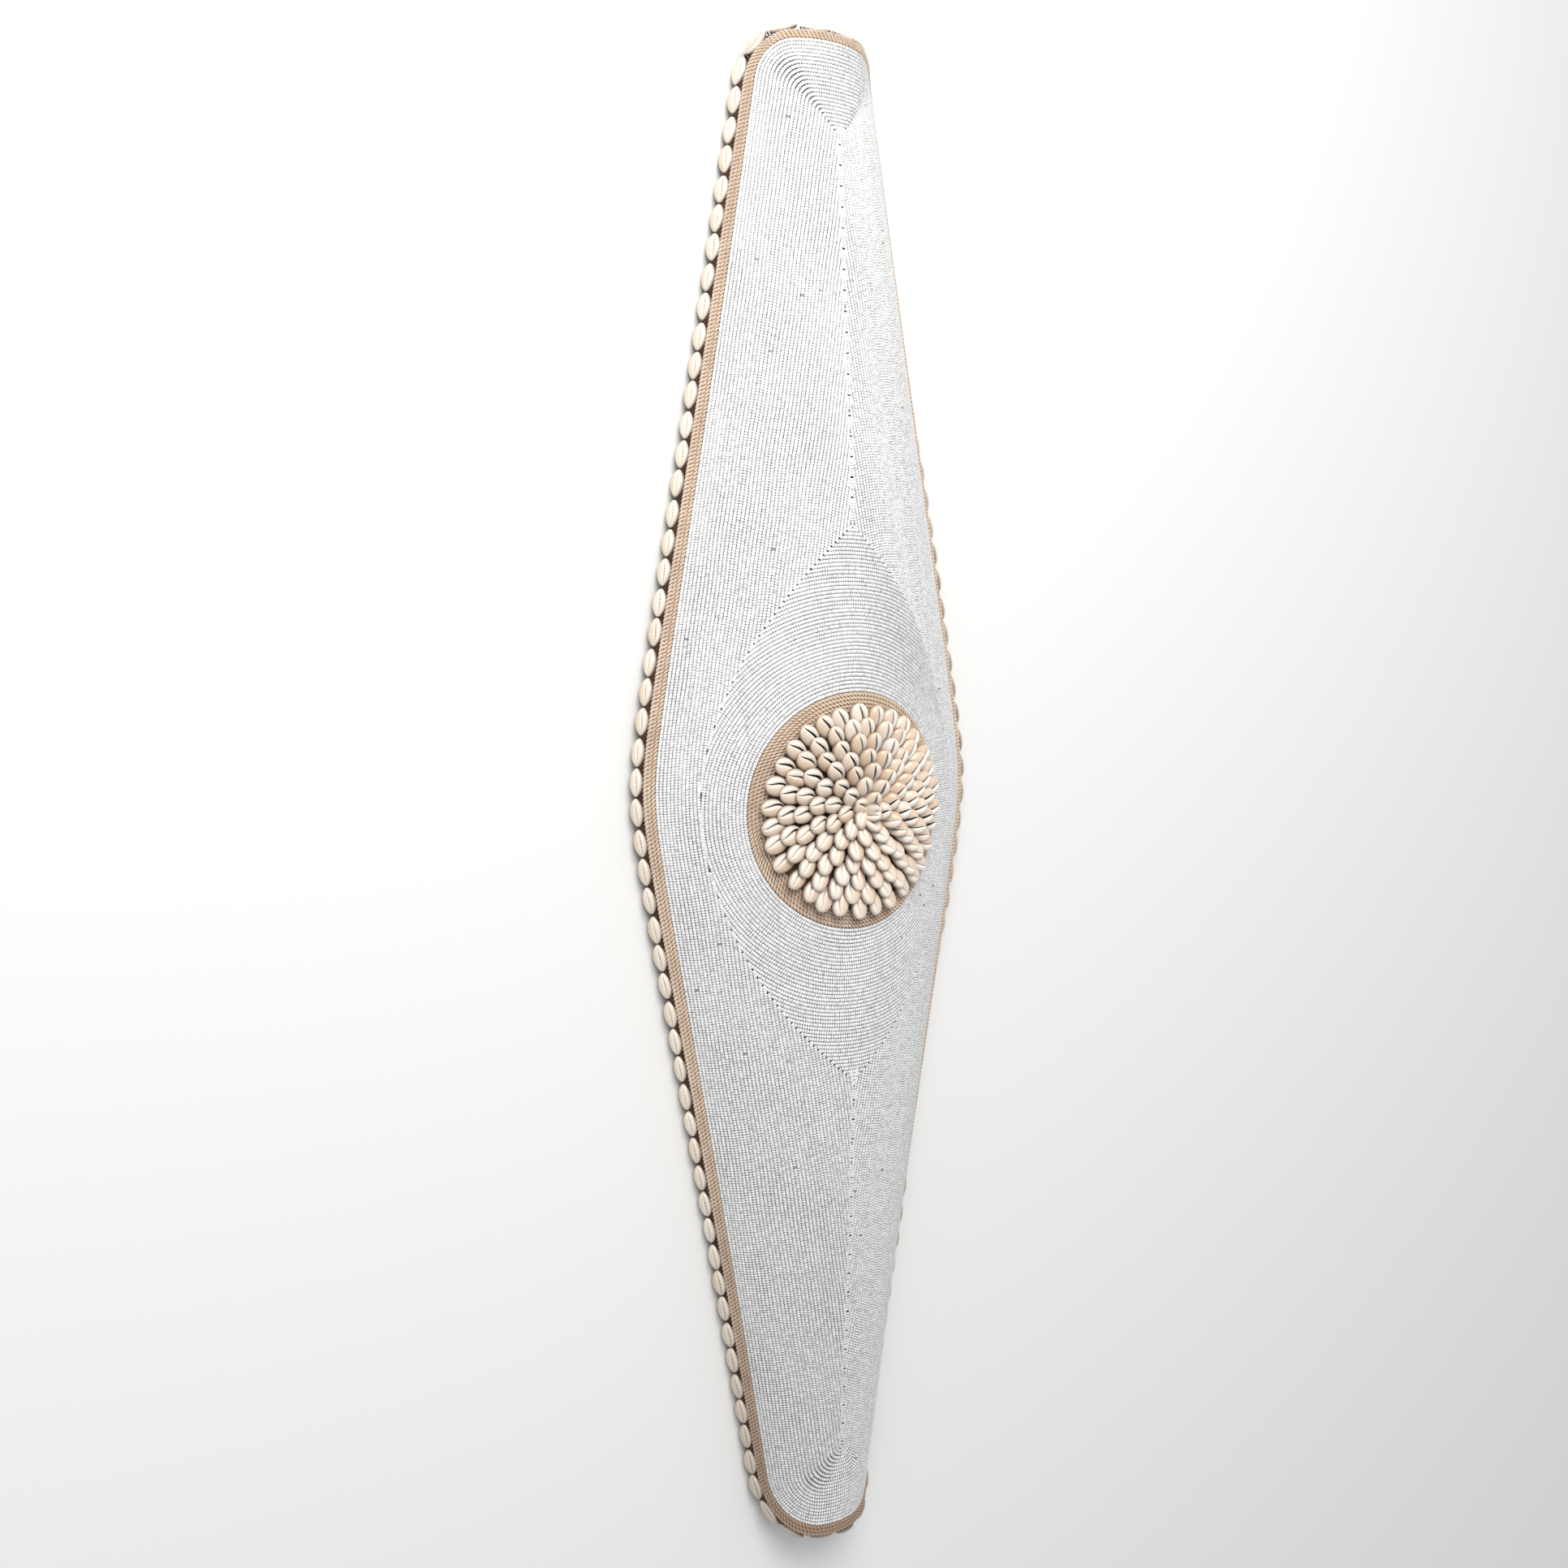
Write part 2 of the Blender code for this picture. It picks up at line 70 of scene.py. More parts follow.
border = {
    "strands": 3,
    "twineWidth": 2.6 * mm,
    "layLength": 5.9 * mm,      # one full turn of the two plies
    "stepsPerTurn": 8,
    "sides": 8,
    "valley": 0.64,             # how deep the plies dip where they meet
    "fullness": 1.14,
    "flatness": 1.13,           # the plies are pressed wider than they are high
    "proud": 0.15 * mm,         # each strand outwards stands this much higher on parts of the right side
    "proudMiddle": (-150 * mm, 300 * mm),     # the part by the widest place, and how it fades at its ends
    "proudFades": (50 * mm, 90 * mm),
    "proudLow": -300 * mm,      # the part from here down, and its fade
    "lowFade": 30 * mm,
    "sideFade": 20 * mm,
    "startStep": 0.9,           # turn of the plies from one strand to the next
}
boss = {
    "fromTop": 546 * mm,
    "radius": 85.7 * mm,
    "turns": 5,
    "reach": 78.5 * mm,
    "rings": 7,
    "ringStep": 10.3 * mm,
    "shellLength": 19.0 * mm,
    "shellWidth": 14.5 * mm,
    "shellThickness": 6.8 * mm,
    "mouths": (0.115, 0.055),
    "closedBelow": -0.25,       # shells lower than this share of their ring have nearly closed slits
    "roll": 0.14,
    "varies": {"turn": 0.015, "tilt": 0.05, "roll": 0.06, "length": (0.94, 1.02), "width": (0.92, 1.03)},
    "middleShells": 2,
    "middleReach": 3.2 * mm,
    "middleSpread": 1.5,
    "middleTilt": 0.25,
    "middleLength": 0.95,
    "middleWidth": 0.80,
    "cushionHeight": 5.0 * mm,
    "cushionEdge": 1.2 * mm,
    "outerLean": math.radians(12),
    "innerLean": math.radians(50),
    "leanLeft": 0.40,           # share of the lean that the left side's inner shells keep
    "startStep": 1.3,
    "turnPoints": 700,
}

topLength = front["widestFromTop"]
bottomLength = front["fieldLength"] - topLength
boxMiddle = (topLength - bottomLength) / 2
bossPlace = topLength - boss["fromTop"]
clothTop = -layers["beadHeight"] / 2 - layers["gap"]
clothBottom = clothTop - layers["clothThickness"]
boardTop = clothBottom - layers["gap"]
hollowTop = boardTop - layers["boardThickness"]
twinePitch = border["twineWidth"] + layers["gap"]
bandWidth = border["strands"] * twinePitch + layers["gap"]
boardEdge = bandWidth - layers["clothThickness"] - layers["gap"]
padRadius = boss["radius"] - layers["gap"] - boss["turns"] * twinePitch


def archOf(halfWidth, rise):
    angle = 2 * math.atan2(rise, halfWidth)
    return angle, (halfWidth ** 2 + rise ** 2) / (2 * rise) * angle


middleArch = archOf(front["middleHalfWidth"], front["middleRise"])
topArch = archOf(front["topHalfWidth"], front["topRise"])
bottomArch = archOf(front["bottomHalfWidth"], front["bottomRise"])


def softLength(v):
    return np.hypot(v, front["softening"]) - front["softening"]


def archAt(v):
    v = np.asarray(v, float)
    up = v > 0
    share = softLength(v) / np.where(up, softLength(topLength), softLength(bottomLength))
    parts = []
    for middle, top, bottom in zip(middleArch, topArch, bottomArch):
        parts.append(middle + (np.where(up, top, bottom) - middle) * share)
    return parts


# s runs across along the arch, v along the shield, lift stands off the middle of the beadwork
def onFront(s, v, lift):
    angle, halfArch = archAt(v)
    radius = halfArch / angle
    turn = s / radius
    height = front["beadEdgeHeight"] - radius * np.cos(angle) + (radius + lift) * np.cos(turn)
    return np.stack([(radius + lift) * np.sin(turn), v - boxMiddle + 0 * s, height + 0 * s], axis=-1)


def slantAt(v):
    v = np.asarray(v, float)
    up = v > 0
    drop = middleArch[1] - np.where(up, topArch[1], bottomArch[1])
    steep = np.abs(v) / np.hypot(v, front["softening"])
    return np.arctan2(drop * steep, np.where(up, softLength(topLength), softLength(bottomLength)))


def sideHalf(v, grow):
    return archAt(v)[1] + grow / np.cos(slantAt(v))


# Flattened outline: sides, rounded corners and straight ends, evenly spaced, anticlockwise.
# Inside the beadwork the corners stay rounder than a true offset, so that the last rows are hairpins
def flatOutline(grow, spacing):
    halves = []
    for end in (-1, 1):
        length = (topLength if end > 0 else bottomLength) + grow
        if end > 0 and grow > 0:
            length -= grow * (1 - front["topShare"])
        corner = front["topCorner"] if end > 0 else front["bottomCorner"]
        slant = float(slantAt(end * length))
        reach = corner + grow
        if reach < front["hairpin"]:
            reach = front["hairpin"] + (reach - front["hairpin"]) * front["hairpinShare"]
        if sideHalf(end * length, grow) > 0:
            room = reach
            for _ in range(8):
                touch = length - room * (1 - math.sin(slant))
                room = float(sideHalf(end * touch, grow)) / math.cos(slant)
            reach = max(min(reach, room), 0.1 * mm)
            touch = length - reach * (1 - math.sin(slant))
            centreS = float(sideHalf(end * touch, grow)) - reach * math.cos(slant)
            turns = np.linspace(slant, math.pi / 2, 60)
            arcS = centreS + reach * np.cos(turns)
            arcV = end * (length - reach + reach * np.sin(turns))
        else:
            near, far = 0.0, length
            for _ in range(40):
                halfWay = (near + far) / 2
                near, far = (halfWay, far) if sideHalf(end * halfWay, grow) > 0 else (near, halfWay)
            arcS, arcV = np.array([0.0, 0.0]), np.array([end * near, end * near])
        sideV = np.linspace(0, arcV[0], 300)
        halves.append((np.concatenate([sideHalf(sideV, grow), arcS[1:], [0.0]]),
                       np.concatenate([sideV, arcV[1:], [arcV[-1]]])))
    (lowS, lowV), (highS, highV) = halves
    s = np.concatenate([lowS[::-1], highS[1:]])
    v = np.concatenate([lowV[::-1], highV[1:]])
    s = np.concatenate([s, -s[::-1][1:]])
    v = np.concatenate([v, v[::-1][1:]])
    return evenly(np.stack([s, v], axis=1), spacing, True)


# Distance in from the side line of the beadwork
def depthAt(s, v):
    return (archAt(v)[1] - np.abs(s)) * np.cos(slantAt(v))


# Points at even steps along a line of points
def evenly(points, spacing, closed):
    steps = np.linalg.norm(np.diff(points, axis=0), axis=1)
    keep = np.concatenate([[True], steps > 1e-9])
    points = points[keep]
    along = np.concatenate([[0.0], np.cumsum(np.linalg.norm(np.diff(points, axis=0), axis=1))])
    count = max(int(round(along[-1] / spacing)), 2)
    marks = np.linspace(0, along[-1], count + 1)
    result = np.stack([np.interp(marks, along, points[:, k]) for k in range(points.shape[1])], axis=1)
    return result[:-1] if closed else result


def tangents(points, closed):
    if closed:
        ahead = np.roll(points, -1, axis=0) - np.roll(points, 1, axis=0)
    else:
        ahead = np.gradient(points, axis=0)
    return ahead / np.linalg.norm(ahead, axis=1)[:, None]


# Level directions out of a closed loop
def outFrom(loop):
    ahead = np.roll(loop, -1, axis=0) - np.roll(loop, 1, axis=0)
    out = np.stack([ahead[:, 1], -ahead[:, 0], np.zeros(len(loop))], axis=1)
    return out / np.linalg.norm(out, axis=1)[:, None]


# Mesh object from arrays of points and faces, with named values at its points
def makePiece(name, points, faces, finish, values, stands):
    mesh = bpy.data.meshes.new(name)
    mesh.from_pydata(np.asarray(points).tolist(), [], [tuple(f) for f in faces])
    for label, numbers in values.items():
        layer = mesh.attributes.new(label, "FLOAT", "POINT")
        layer.data.foreach_set("value", np.asarray(numbers, dtype=np.float32))
    mesh.shade_smooth()
    mesh.materials.append(finish)
    piece = bpy.data.objects.new(name, mesh)
    bpy.context.scene.collection.objects.link(piece)
    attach(piece, "root")
    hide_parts(*stands)


# Quads between neighbouring rows of a grid, given as rows of point numbers
def gridFaces(rows, columns, closeRows=False, closeColumns=False, start=0):
    r = np.arange(rows if closeRows else rows - 1)
    c = np.arange(columns if closeColumns else columns - 1)
    i, j = np.meshgrid(r, c, indexing="ij")
    nextI, nextJ = (i + 1) % rows, (j + 1) % columns
    corners = [i * columns + j, i * columns + nextJ, nextI * columns + nextJ, nextI * columns + j]
    quads = np.stack(corners, axis=-1)
    return (quads.reshape(-1, 4) + start).tolist()


# Finishes. Painted shade: the shield darkens along these stretches, towards its lower end and its top
paintedShadeStretch = {"low": (-220 * mm, -560 * mm), "top": (150 * mm, 500 * mm)}


class Finish:
    def __init__(self, name, colour, roughness, specular=0.5):
        self.material = bpy.data.materials.new(name)
        self.material.use_nodes = True
        self.tree = self.material.node_tree
        self.shader = self.tree.nodes["Principled BSDF"]
        self.shader.inputs["Base Color"].default_value = (*colour, 1)
        self.shader.inputs["Roughness"].default_value = roughness
        self.shader.inputs["Specular IOR Level"].default_value = specular

    def add(self, kind, **settings):
        node = self.tree.nodes.new(kind)
        for key, value in settings.items():
            if key in node.inputs:
                node.inputs[key].default_value = value
            else:
                setattr(node, key, value)
        return node

    def join(self, source, target):
        self.tree.links.new(source, target)

    def place(self, scale=(1, 1, 1)):
        spot = self.add("ShaderNodeTexCoord")
        mapping = self.add("ShaderNodeMapping")
        mapping.inputs["Scale"].default_value = scale
        self.join(spot.outputs["Object"], mapping.inputs["Vector"])
        return mapping.outputs["Vector"]

    def value(self, label):
        return self.add("ShaderNodeAttribute", attribute_name=label).outputs["Fac"]

    def noise(self, where, scale, detail=3.0, roughness=0.55):
        node = self.add("ShaderNodeTexNoise", Scale=scale, Detail=detail, Roughness=roughness)
        self.join(where, node.inputs["Vector"])
        return node.outputs["Fac"]

    def ramp(self, amount, low, high, lowValue=0.0, highValue=1.0):
        node = self.add("ShaderNodeMapRange")
        limits = {"From Min": low, "From Max": high, "To Min": lowValue, "To Max": highValue}
        for label, limit in limits.items():
            node.inputs[label].default_value = limit
        self.join(amount, node.inputs["Value"])
        return node.outputs["Result"]

    def math(self, way, first, second):
        node = self.add("ShaderNodeMath", operation=way)
        self.join(first, node.inputs[0])
        self.join(second, node.inputs[1])
        return node.outputs[0]

    def mix(self, amount, first, second):
        node = self.add("ShaderNodeMix", data_type="RGBA")
        self.join(amount, node.inputs[0])
        for k, item in ((6, first), (7, second)):
            if isinstance(item, tuple):
                node.inputs[k].default_value = (*item, 1)
            else:
                self.join(item, node.inputs[k])
        return node.outputs[2]

    # Painted shade: a dark colour mixed in towards the lower end and the top
    def darkerEnds(self, source, dark, low, top):
        parts = self.add("ShaderNodeSeparateXYZ")
        self.join(self.place(), parts.inputs[0])
        lower = self.ramp(parts.outputs["Y"], *paintedShadeStretch["low"], 0.0, low)
        upper = self.ramp(parts.outputs["Y"], *paintedShadeStretch["top"], 0.0, top)
        return self.mix(self.math("ADD", lower, upper), source, dark)

    def colour(self, source):
        self.join(source, self.shader.inputs["Base Color"])

    def roughness(self, source):
        self.join(source, self.shader.inputs["Roughness"])

    def bump(self, height, strength, distance):
        node = self.add("ShaderNodeBump", Strength=strength, Distance=distance)
        self.join(height, node.inputs["Height"])
        self.join(node.outputs["Normal"], self.shader.inputs["Normal"])


def woodFinish():
    look = Finish("dark carved wood", (0.16, 0.09, 0.05), 0.7, 0.35)
    grain = look.noise(look.place((60, 4, 60)), 3.0, 6.0, 0.6)
    patches = look.noise(look.place((9, 5, 9)), 1.5, 4.0)
    brown = look.mix(look.ramp(grain, 0.35, 0.68), (0.055, 0.030, 0.017), (0.21, 0.125, 0.068))
    look.colour(look.mix(look.ramp(patches, 0.40, 0.75, 0.0, 0.6), brown, (0.10, 0.058, 0.034)))
    look.roughness(look.ramp(patches, 0.3, 0.7, 0.55, 0.85))
    look.bump(grain, 0.35, 0.0006)
    return look.material


def clothFinish(name, dark, light):
    look = Finish(name, dark, 0.95, 0.15)
    look.shader.inputs["Sheen Weight"].default_value = 0.06
    threads = []
    for way in ("X", "Y"):
        wave = look.add("ShaderNodeTexWave", bands_direction=way, Scale=1.0, Distortion=0.6)
        look.join(look.place((380, 380, 380)), wave.inputs["Vector"])
        threads.append(wave.outputs["Fac"])
    weave = look.math("MULTIPLY", *threads)
    dust = look.noise(look.place((40, 40, 40)), 2.0, 5.0)
    worn = look.math("MULTIPLY", look.ramp(dust, 0.45, 0.75), look.ramp(weave, 0.1, 0.9, 0.4, 1.0))
    look.colour(look.mix(worn, dark, light))
    look.bump(weave, 0.5, 0.0004)
    return look.material


def beadFinish():
    look = Finish("white seed beads", (0.80, 0.81, 0.82), 0.24, 0.55)
    tone, threadAndShade = look.value("beadTone"), look.value("beadThreadAndShade")
    wide = look.noise(look.place((14, 14, 14)), 1.0, 3.0)
    white = look.mix(tone, (0.55, 0.54, 0.53), (0.95, 0.955, 0.965))
    white = look.mix(look.ramp(wide, 0.45, 0.75, 0.0, 0.22), white, (0.74, 0.77, 0.82))
    thread = look.mix(look.ramp(wide, 0.40, 0.60), (0.085, 0.082, 0.085), (0.14, 0.105, 0.080))
    # The darkening mark mixes in the thread colour: the real thread at the necks and where beads are missing,
    # and painted shade between the rows, towards the lower end and towards the right
    look.colour(look.mix(look.ramp(threadAndShade, 0.40, 1.0, 0.0, 0.80), white, thread))
    return look.material


def twineFinish(name, deep, mid, pale):
    look = Finish(name, mid, 0.9, 0.2)
    look.shader.inputs["Sheen Weight"].default_value = 0.2
    fibre = look.noise(look.place((900, 900, 900)), 1.0, 4.0, 0.7)
    tone = look.noise(look.place((45, 45, 45)), 1.0, 3.0)
    # Painted shade in the valleys where the plies meet, and a painted highlight along the crest of each ply
    base = look.mix(look.ramp(look.value("plyCrest"), 0.10, 0.78), deep, mid)
    base = look.mix(look.ramp(look.value("plyCrest"), 0.72, 1.0, 0.0, 0.70), base, pale)
    base = look.mix(look.ramp(fibre, 0.45, 0.70, 0.0, 0.75), base, pale)
    base = look.mix(look.ramp(tone, 0.40, 0.75, 0.0, 0.30), base, deep)
    # Painted shade: the twine darkens towards the lower end and a little towards the top
    look.colour(look.darkerEnds(base, (0.19, 0.115, 0.066), 0.66, 0.10))
    look.bump(fibre, 0.5, 0.0003)
    return look.material


def shellFinish(name, body, warm, lip):
    look = Finish(name, body, 0.26, 0.5)
    look.shader.inputs["Coat Weight"].default_value = 0.35
    look.shader.inputs["Coat Roughness"].default_value = 0.12
    cloud = look.noise(look.place((170, 170, 170)), 1.0, 3.0)
    base = look.mix(look.ramp(cloud, 0.35, 0.70), body, warm)
    base = look.mix(look.ramp(look.value("shellTone"), 0.0, 1.0, 0.0, 0.7), base, lip)
    base = look.mix(look.value("shellLip"), base, lip)
    # Painted shade: the shells darken towards the lower end
    base = look.darkerEnds(base, (0.34, 0.28, 0.22), 0.60, 0.0)
    # Painted shade on the shells' rims and cut backs; on the stitches the same mark gives the real dark
    # thread its colour
    base = look.mix(look.value("shellShadeAndThread"), base, (0.11, 0.062, 0.038))
    # Near black: painted shade on the slit's floor inside the opening, and the dark colour of the stitching
    # thread
    look.colour(look.mix(look.value("shellSlit"), base, (0.012, 0.008, 0.007)))
    look.roughness(look.ramp(cloud, 0.3, 0.7, 0.20, 0.36))
    return look.material


# Beadwork: rows that follow the outline, and rings round the boss, which meet half way between
beadwork = {
    "rowPitch": 2.71 * mm,
    "beadLength": 1.95 * mm,
    "fullness": 1.05,         # of the room that a row has
    "neckWidth": 0.77,        # of the bead's own width and height, where two beads meet
    "neckHeight": 0.64,
    "runOn": 0.7 * mm,
    "closing": {"seam": 1.0, "rings": 0.72},
    "mostRunOn": 17 * mm,
    "lineStep": 0.6 * mm,
    "seamZone": 5 * mm,       # half the width of the strips where holes are looked for
    "ringZone": 4 * mm,
    "sink": 0.8 * mm,         # how far the rows sink towards the right edge
    "sinkFrom": 25 * mm,
    "seam": 0.95 * mm,
    "hole": {"seam": 1.52 * mm, "rings": 1.85 * mm},     # a spot this far from every row gets a bead
    "holeStep": 0.4 * mm,
    "across": (-80, -30, 30, 80),
    "wander": 0.36 * mm,
    "calmEdge": 14 * mm,      # nearer to the outline or the ring than this, the rows run truer
    "sideJitter": 0.07 * mm,
    "sizeJitter": 0.05,
    "crownOver": 0.15 * mm,
    "toneSpread": (0.42, 0.18, 0.30),     # everywhere, more towards the lower end and towards the right, where the extra darkening is painted shade
    "threadTone": 0.6,
    "stained": 0.014,
    "missing": 0.0012,        # share of beads that are dark, as if only the thread were left
    # where two beads meet they darken towards the thread: the thread itself, with painted shade between the
    # beads
    "neckThreadAndShade": (0.30, 0.88),
    "lowPaintedShade": 0.32,         # painted shade, added towards the lower end
    # painted shade, added towards the right
    "rightPaintedShade": 0.22,
    # painted shade in the grooves between the rows
    "rowEdgePaintedShade": 0.45,
    "lowLength": 420 * mm,
    "rightWidth": 90 * mm,
}


# Sewn rows aren't quite true: a slow and a quick wave move each point a little
def wander(points, depth):
    s, v = points[:, 0], points[:, 1]
    calm = np.clip(depth / beadwork["calmEdge"], 0, 1)
    slowS = np.sin(v / (31 * mm) + 3 * np.sin(s / (45 * mm)))
    quickS = np.sin(v / (12.5 * mm) + s / (21 * mm) + 1.3)
    slowV = np.sin(s / (27 * mm) + 2 * np.sin(v / (60 * mm)) + 0.6)
    quickV = np.sin(s / (14 * mm) - v / (19 * mm))
    drift = np.stack([slowS + 0.7 * quickS, slowV + 0.7 * quickV], axis=1)
    return points + (calm * beadwork["wander"])[:, None] * drift


# Stretches of a closed line where every point is kept
def keptRuns(points, keep):
    if keep.all():
        return [(np.concatenate([points, points[:1]]), True)]
    if not keep.any():
        return []
    first = int(np.argmin(keep))
    points, keep = np.roll(points, -first, axis=0), np.roll(keep, -first)
    runs, start = [], None
    for i, good in enumerate(keep):
        if good and start is None:
            start = i
        if not good and start is not None:
            runs.append((points[start:i], False))
            start = None
    if start is not None:
        runs.append((points[start:], False))
    return [run for run in runs if len(run[0]) > 2]


# A row's ends run on along the line where two fields of rows meet, until their neighbours close up
def closeUp(points, isRing):
    middle = np.array([0.0, bossPlace])
    for _ in range(2):
        end, ahead = points[-1], points[-1] - points[-4]
        ahead = ahead / np.linalg.norm(ahead)
        onSeam = abs(end[0]) < 3 * mm
        if onSeam:
            other = ahead * (-1, 1)
        else:
            out = (end - middle) / np.linalg.norm(end - middle)
            other = np.array([-out[1], out[0]])
            other = other * np.sign(other @ ahead)
        line = (ahead + other) / max(np.linalg.norm(ahead + other), 1e-6)
        half = math.acos(min(float(line @ ahead), 1.0))
        closing = beadwork["closing"]["seam" if onSeam else "rings"]
        extra = min(beadwork["rowPitch"] / 2 / math.tan(max(half, 0.05)) * closing, beadwork["mostRunOn"])
        if isRing:
            extra = min(extra, beadwork["runOn"])
        steps = max(int(extra / beadwork["lineStep"]), 1)
        points = np.concatenate([points, end + line * extra * np.arange(1, steps + 1)[:, None] / steps])[::-1]
    return points


# Single beads for the holes that the rows leave along the seam and round the field of rings
def holeBeads(rows):
    spots = np.concatenate(rows)
    tree = kdtree.KDTree(len(spots))
    for number, (s, v) in enumerate(spots):
        tree.insert((s, v, 0), number)
    tree.balance()
    step, edge = beadwork["holeStep"], beadwork["rowPitch"] * 0.7
    s, v = np.meshgrid(np.arange(-middleArch[1], middleArch[1], step),
                       np.arange(edge - bottomLength, topLength - edge, step))
    depth, fromRing = depthAt(s, v), np.hypot(s, v - bossPlace) - boss["radius"]
    seamZone = beadwork["seamZone"]
    meeting = (np.abs(s) < seamZone) | (np.abs(fromRing - depth) < beadwork["ringZone"])
    meeting &= (depth > edge) & (fromRing > edge)
    holes = []
    for place in zip(s[meeting], v[meeting]):
        distance = tree.find((*place, 0))[2]
        if distance > beadwork["hole"]["seam" if abs(place[0]) < seamZone else "rings"]:
            holes.append((distance, *place))
    chosen = []
    for distance, s, v in sorted(holes, reverse=True):
        if all(math.hypot(s - a, v - b) > beadwork["beadLength"] * 0.95 for a, b in chosen):
            chosen.append((s, v))
    half = beadwork["beadLength"] / 2
    print("single beads in holes:", len(chosen))
    return [np.array([[s, v - half], [s, v], [s, v + half]]) for s, v in chosen]


def beadRows():
    spacing = beadwork["lineStep"]
    middle = np.array([0.0, bossPlace])
    pitch = beadwork["rowPitch"]
    lines = []
    count = int(middleArch[1] / pitch)
    for k in range(count):
        depth = (k + 0.5) * pitch
        line = flatOutline(-depth, spacing)
        fromRing = np.linalg.norm(line - middle, axis=1) - boss["radius"]
        seam = np.abs(line[:, 0]) > beadwork["seam"]
        capped = min(sideHalf(topLength - depth, -depth), sideHalf(depth - bottomLength, -depth)) > 0
        lines.append((line, depth, (fromRing > depth) & (seam | capped), False))
    for k in range(count):
        depth = (k + 0.5) * pitch
        reach = boss["radius"] + depth
        turns = np.linspace(0, 2 * math.pi, int(2 * math.pi * reach / spacing), endpoint=False)
        line = middle + reach * np.stack([np.cos(turns), np.sin(turns)], axis=1)
        lines.append((line, depth, depthAt(line[:, 0], line[:, 1]) >= depth, True))
    rows = []
    for line, depth, keep, isRing in lines:
        for points, closed in keptRuns(line, keep):
            if not closed and len(points) > 5:
                points = closeUp(points, isRing)
            rows.append(wander(points, np.full(len(points), depth)))
    return rows + holeBeads(rows)


def threadBeads(rows):
    angles = np.radians(beadwork["across"])
    half = beadwork["rowPitch"] / 2 * beadwork["fullness"]
    rise = layers["beadHeight"] / 2 + beadwork["crownOver"]
    plainSpread, lowSpread, rightSpread = beadwork["toneSpread"]
    quarters = {name: ([], [], [], []) for name in ("upper_left", "upper_right", "lower_left", "lower_right")}
    beads = 0
    for line in rows:
        length = np.linalg.norm(np.diff(line, axis=0), axis=1).sum()
        count = max(int(round(length / beadwork["beadLength"])), 1)
        spots = evenly(line, length / (2 * count), False)
        if len(spots) < 3:
            continue
        ahead = tangents(spots, False)
        side = np.stack([ahead[:, 1], -ahead[:, 0]], axis=1)
        isBead = np.arange(len(spots)) % 2 == 1
        shift = chance.normal(0, beadwork["sideJitter"], len(spots)) * isBead
        spots = spots + side * shift[:, None]
        vary = 1 + chance.uniform(-1, 1, len(spots)) * beadwork["sizeJitter"]
        wide = half * np.where(isBead, vary, beadwork["neckWidth"])
        high = rise * np.where(isBead, vary, beadwork["neckHeight"])
        low = np.clip((bossPlace - spots[:, 1]) / beadwork["lowLength"], 0, 1)
        right = np.clip(spots[:, 0] / beadwork["rightWidth"], 0, 1)
        # beads towards the lower end and the right darken further: painted shade
        spread = plainSpread + lowSpread * low + rightSpread * right
        tone = np.where(isBead, 1 - spread * chance.random(len(spots)), beadwork["threadTone"])
        luck = chance.random(len(spots))
        stained = isBead & (luck < beadwork["stained"])
        tone = np.where(stained, 0.0, tone)
        # Necks darken at random towards the thread: the thread itself, with painted shade between the beads.
        # Painted shade is added towards the lower end and the right
        threadAndShade = chance.uniform(*beadwork["neckThreadAndShade"], len(spots)) + beadwork["lowPaintedShade"] * low
        threadAndShade += beadwork["rightPaintedShade"] * right
        threadAndShade = np.where(isBead, 1.0 * (luck < beadwork["missing"]), threadAndShade)
        beads += isBead.sum()
        s = spots[:, :1] + side[:, :1] * wide[:, None] * np.sin(angles)
        v = spots[:, 1:] + side[:, 1:] * wide[:, None] * np.sin(angles)
        lift = clothTop + layers["beadHeight"] / 2 + high[:, None] * np.cos(angles)
        sunk = np.clip(1 - depthAt(spots[:, 0], spots[:, 1]) / beadwork["sinkFrom"], 0, 1) * (spots[:, 0] > 0)
        lift = lift - beadwork["sink"] * sunk[:, None]
        points = onFront(s, v, lift)
        # painted shade along the two edges of each row, in the grooves between rows
        rowEdgePaintedShade = np.array([1.0] + [0.0] * (len(angles) - 2) + [1.0]) * beadwork["rowEdgePaintedShade"]
        threadAndShadeHere = np.clip(threadAndShade[:, None] + rowEdgePaintedShade, 0, 1)
        toneHere = np.repeat(tone[:, None], len(angles), axis=1)
        # a row is shared out between the quarters of the front, one bead after another
        place = np.where(spots[:, 1] > bossPlace, 0, 2) + np.where(spots[:, 0] > 0, 1, 0)
        owner = place[np.minimum(np.arange(len(spots)) // 2 * 2 + 1, len(spots) - 1)]
        start = 0
        while start < len(spots) - 1:
            stop = start + 2
            while stop < len(spots) - 1 and owner[stop] == owner[start]:
                stop += 2
            stop = min(stop, len(spots) - 1)
            vertices, faces, tones, threadAndShades = quarters[list(quarters)[owner[start]]]
            base = sum(len(block) for block in vertices)
            block = points[start:stop + 1].reshape(-1, 3)
            faces += gridFaces(stop + 1 - start, len(angles), start=base)
            vertices.append(block)
            tones.append(toneHere[start:stop + 1].ravel())
            threadAndShades.append(threadAndShadeHere[start:stop + 1].ravel())
            start = stop
    return quarters, beads


def makeBeads():
    rows = beadRows()
    quarters, beads = threadBeads(rows)
    finish = beadFinish()
    for name, (vertices, faces, tones, threadAndShades) in quarters.items():
        values = {"beadTone": np.concatenate(tones), "beadThreadAndShade": np.concatenate(threadAndShades)}
        makePiece("bead_rows_" + name, np.concatenate(vertices), faces, finish, values,
                  ("bead_field",))
        print("beads", name, len(faces) * 2, "triangles")
    print("beadwork:", len(rows), "rows,", beads, "beads")


makeBeads()


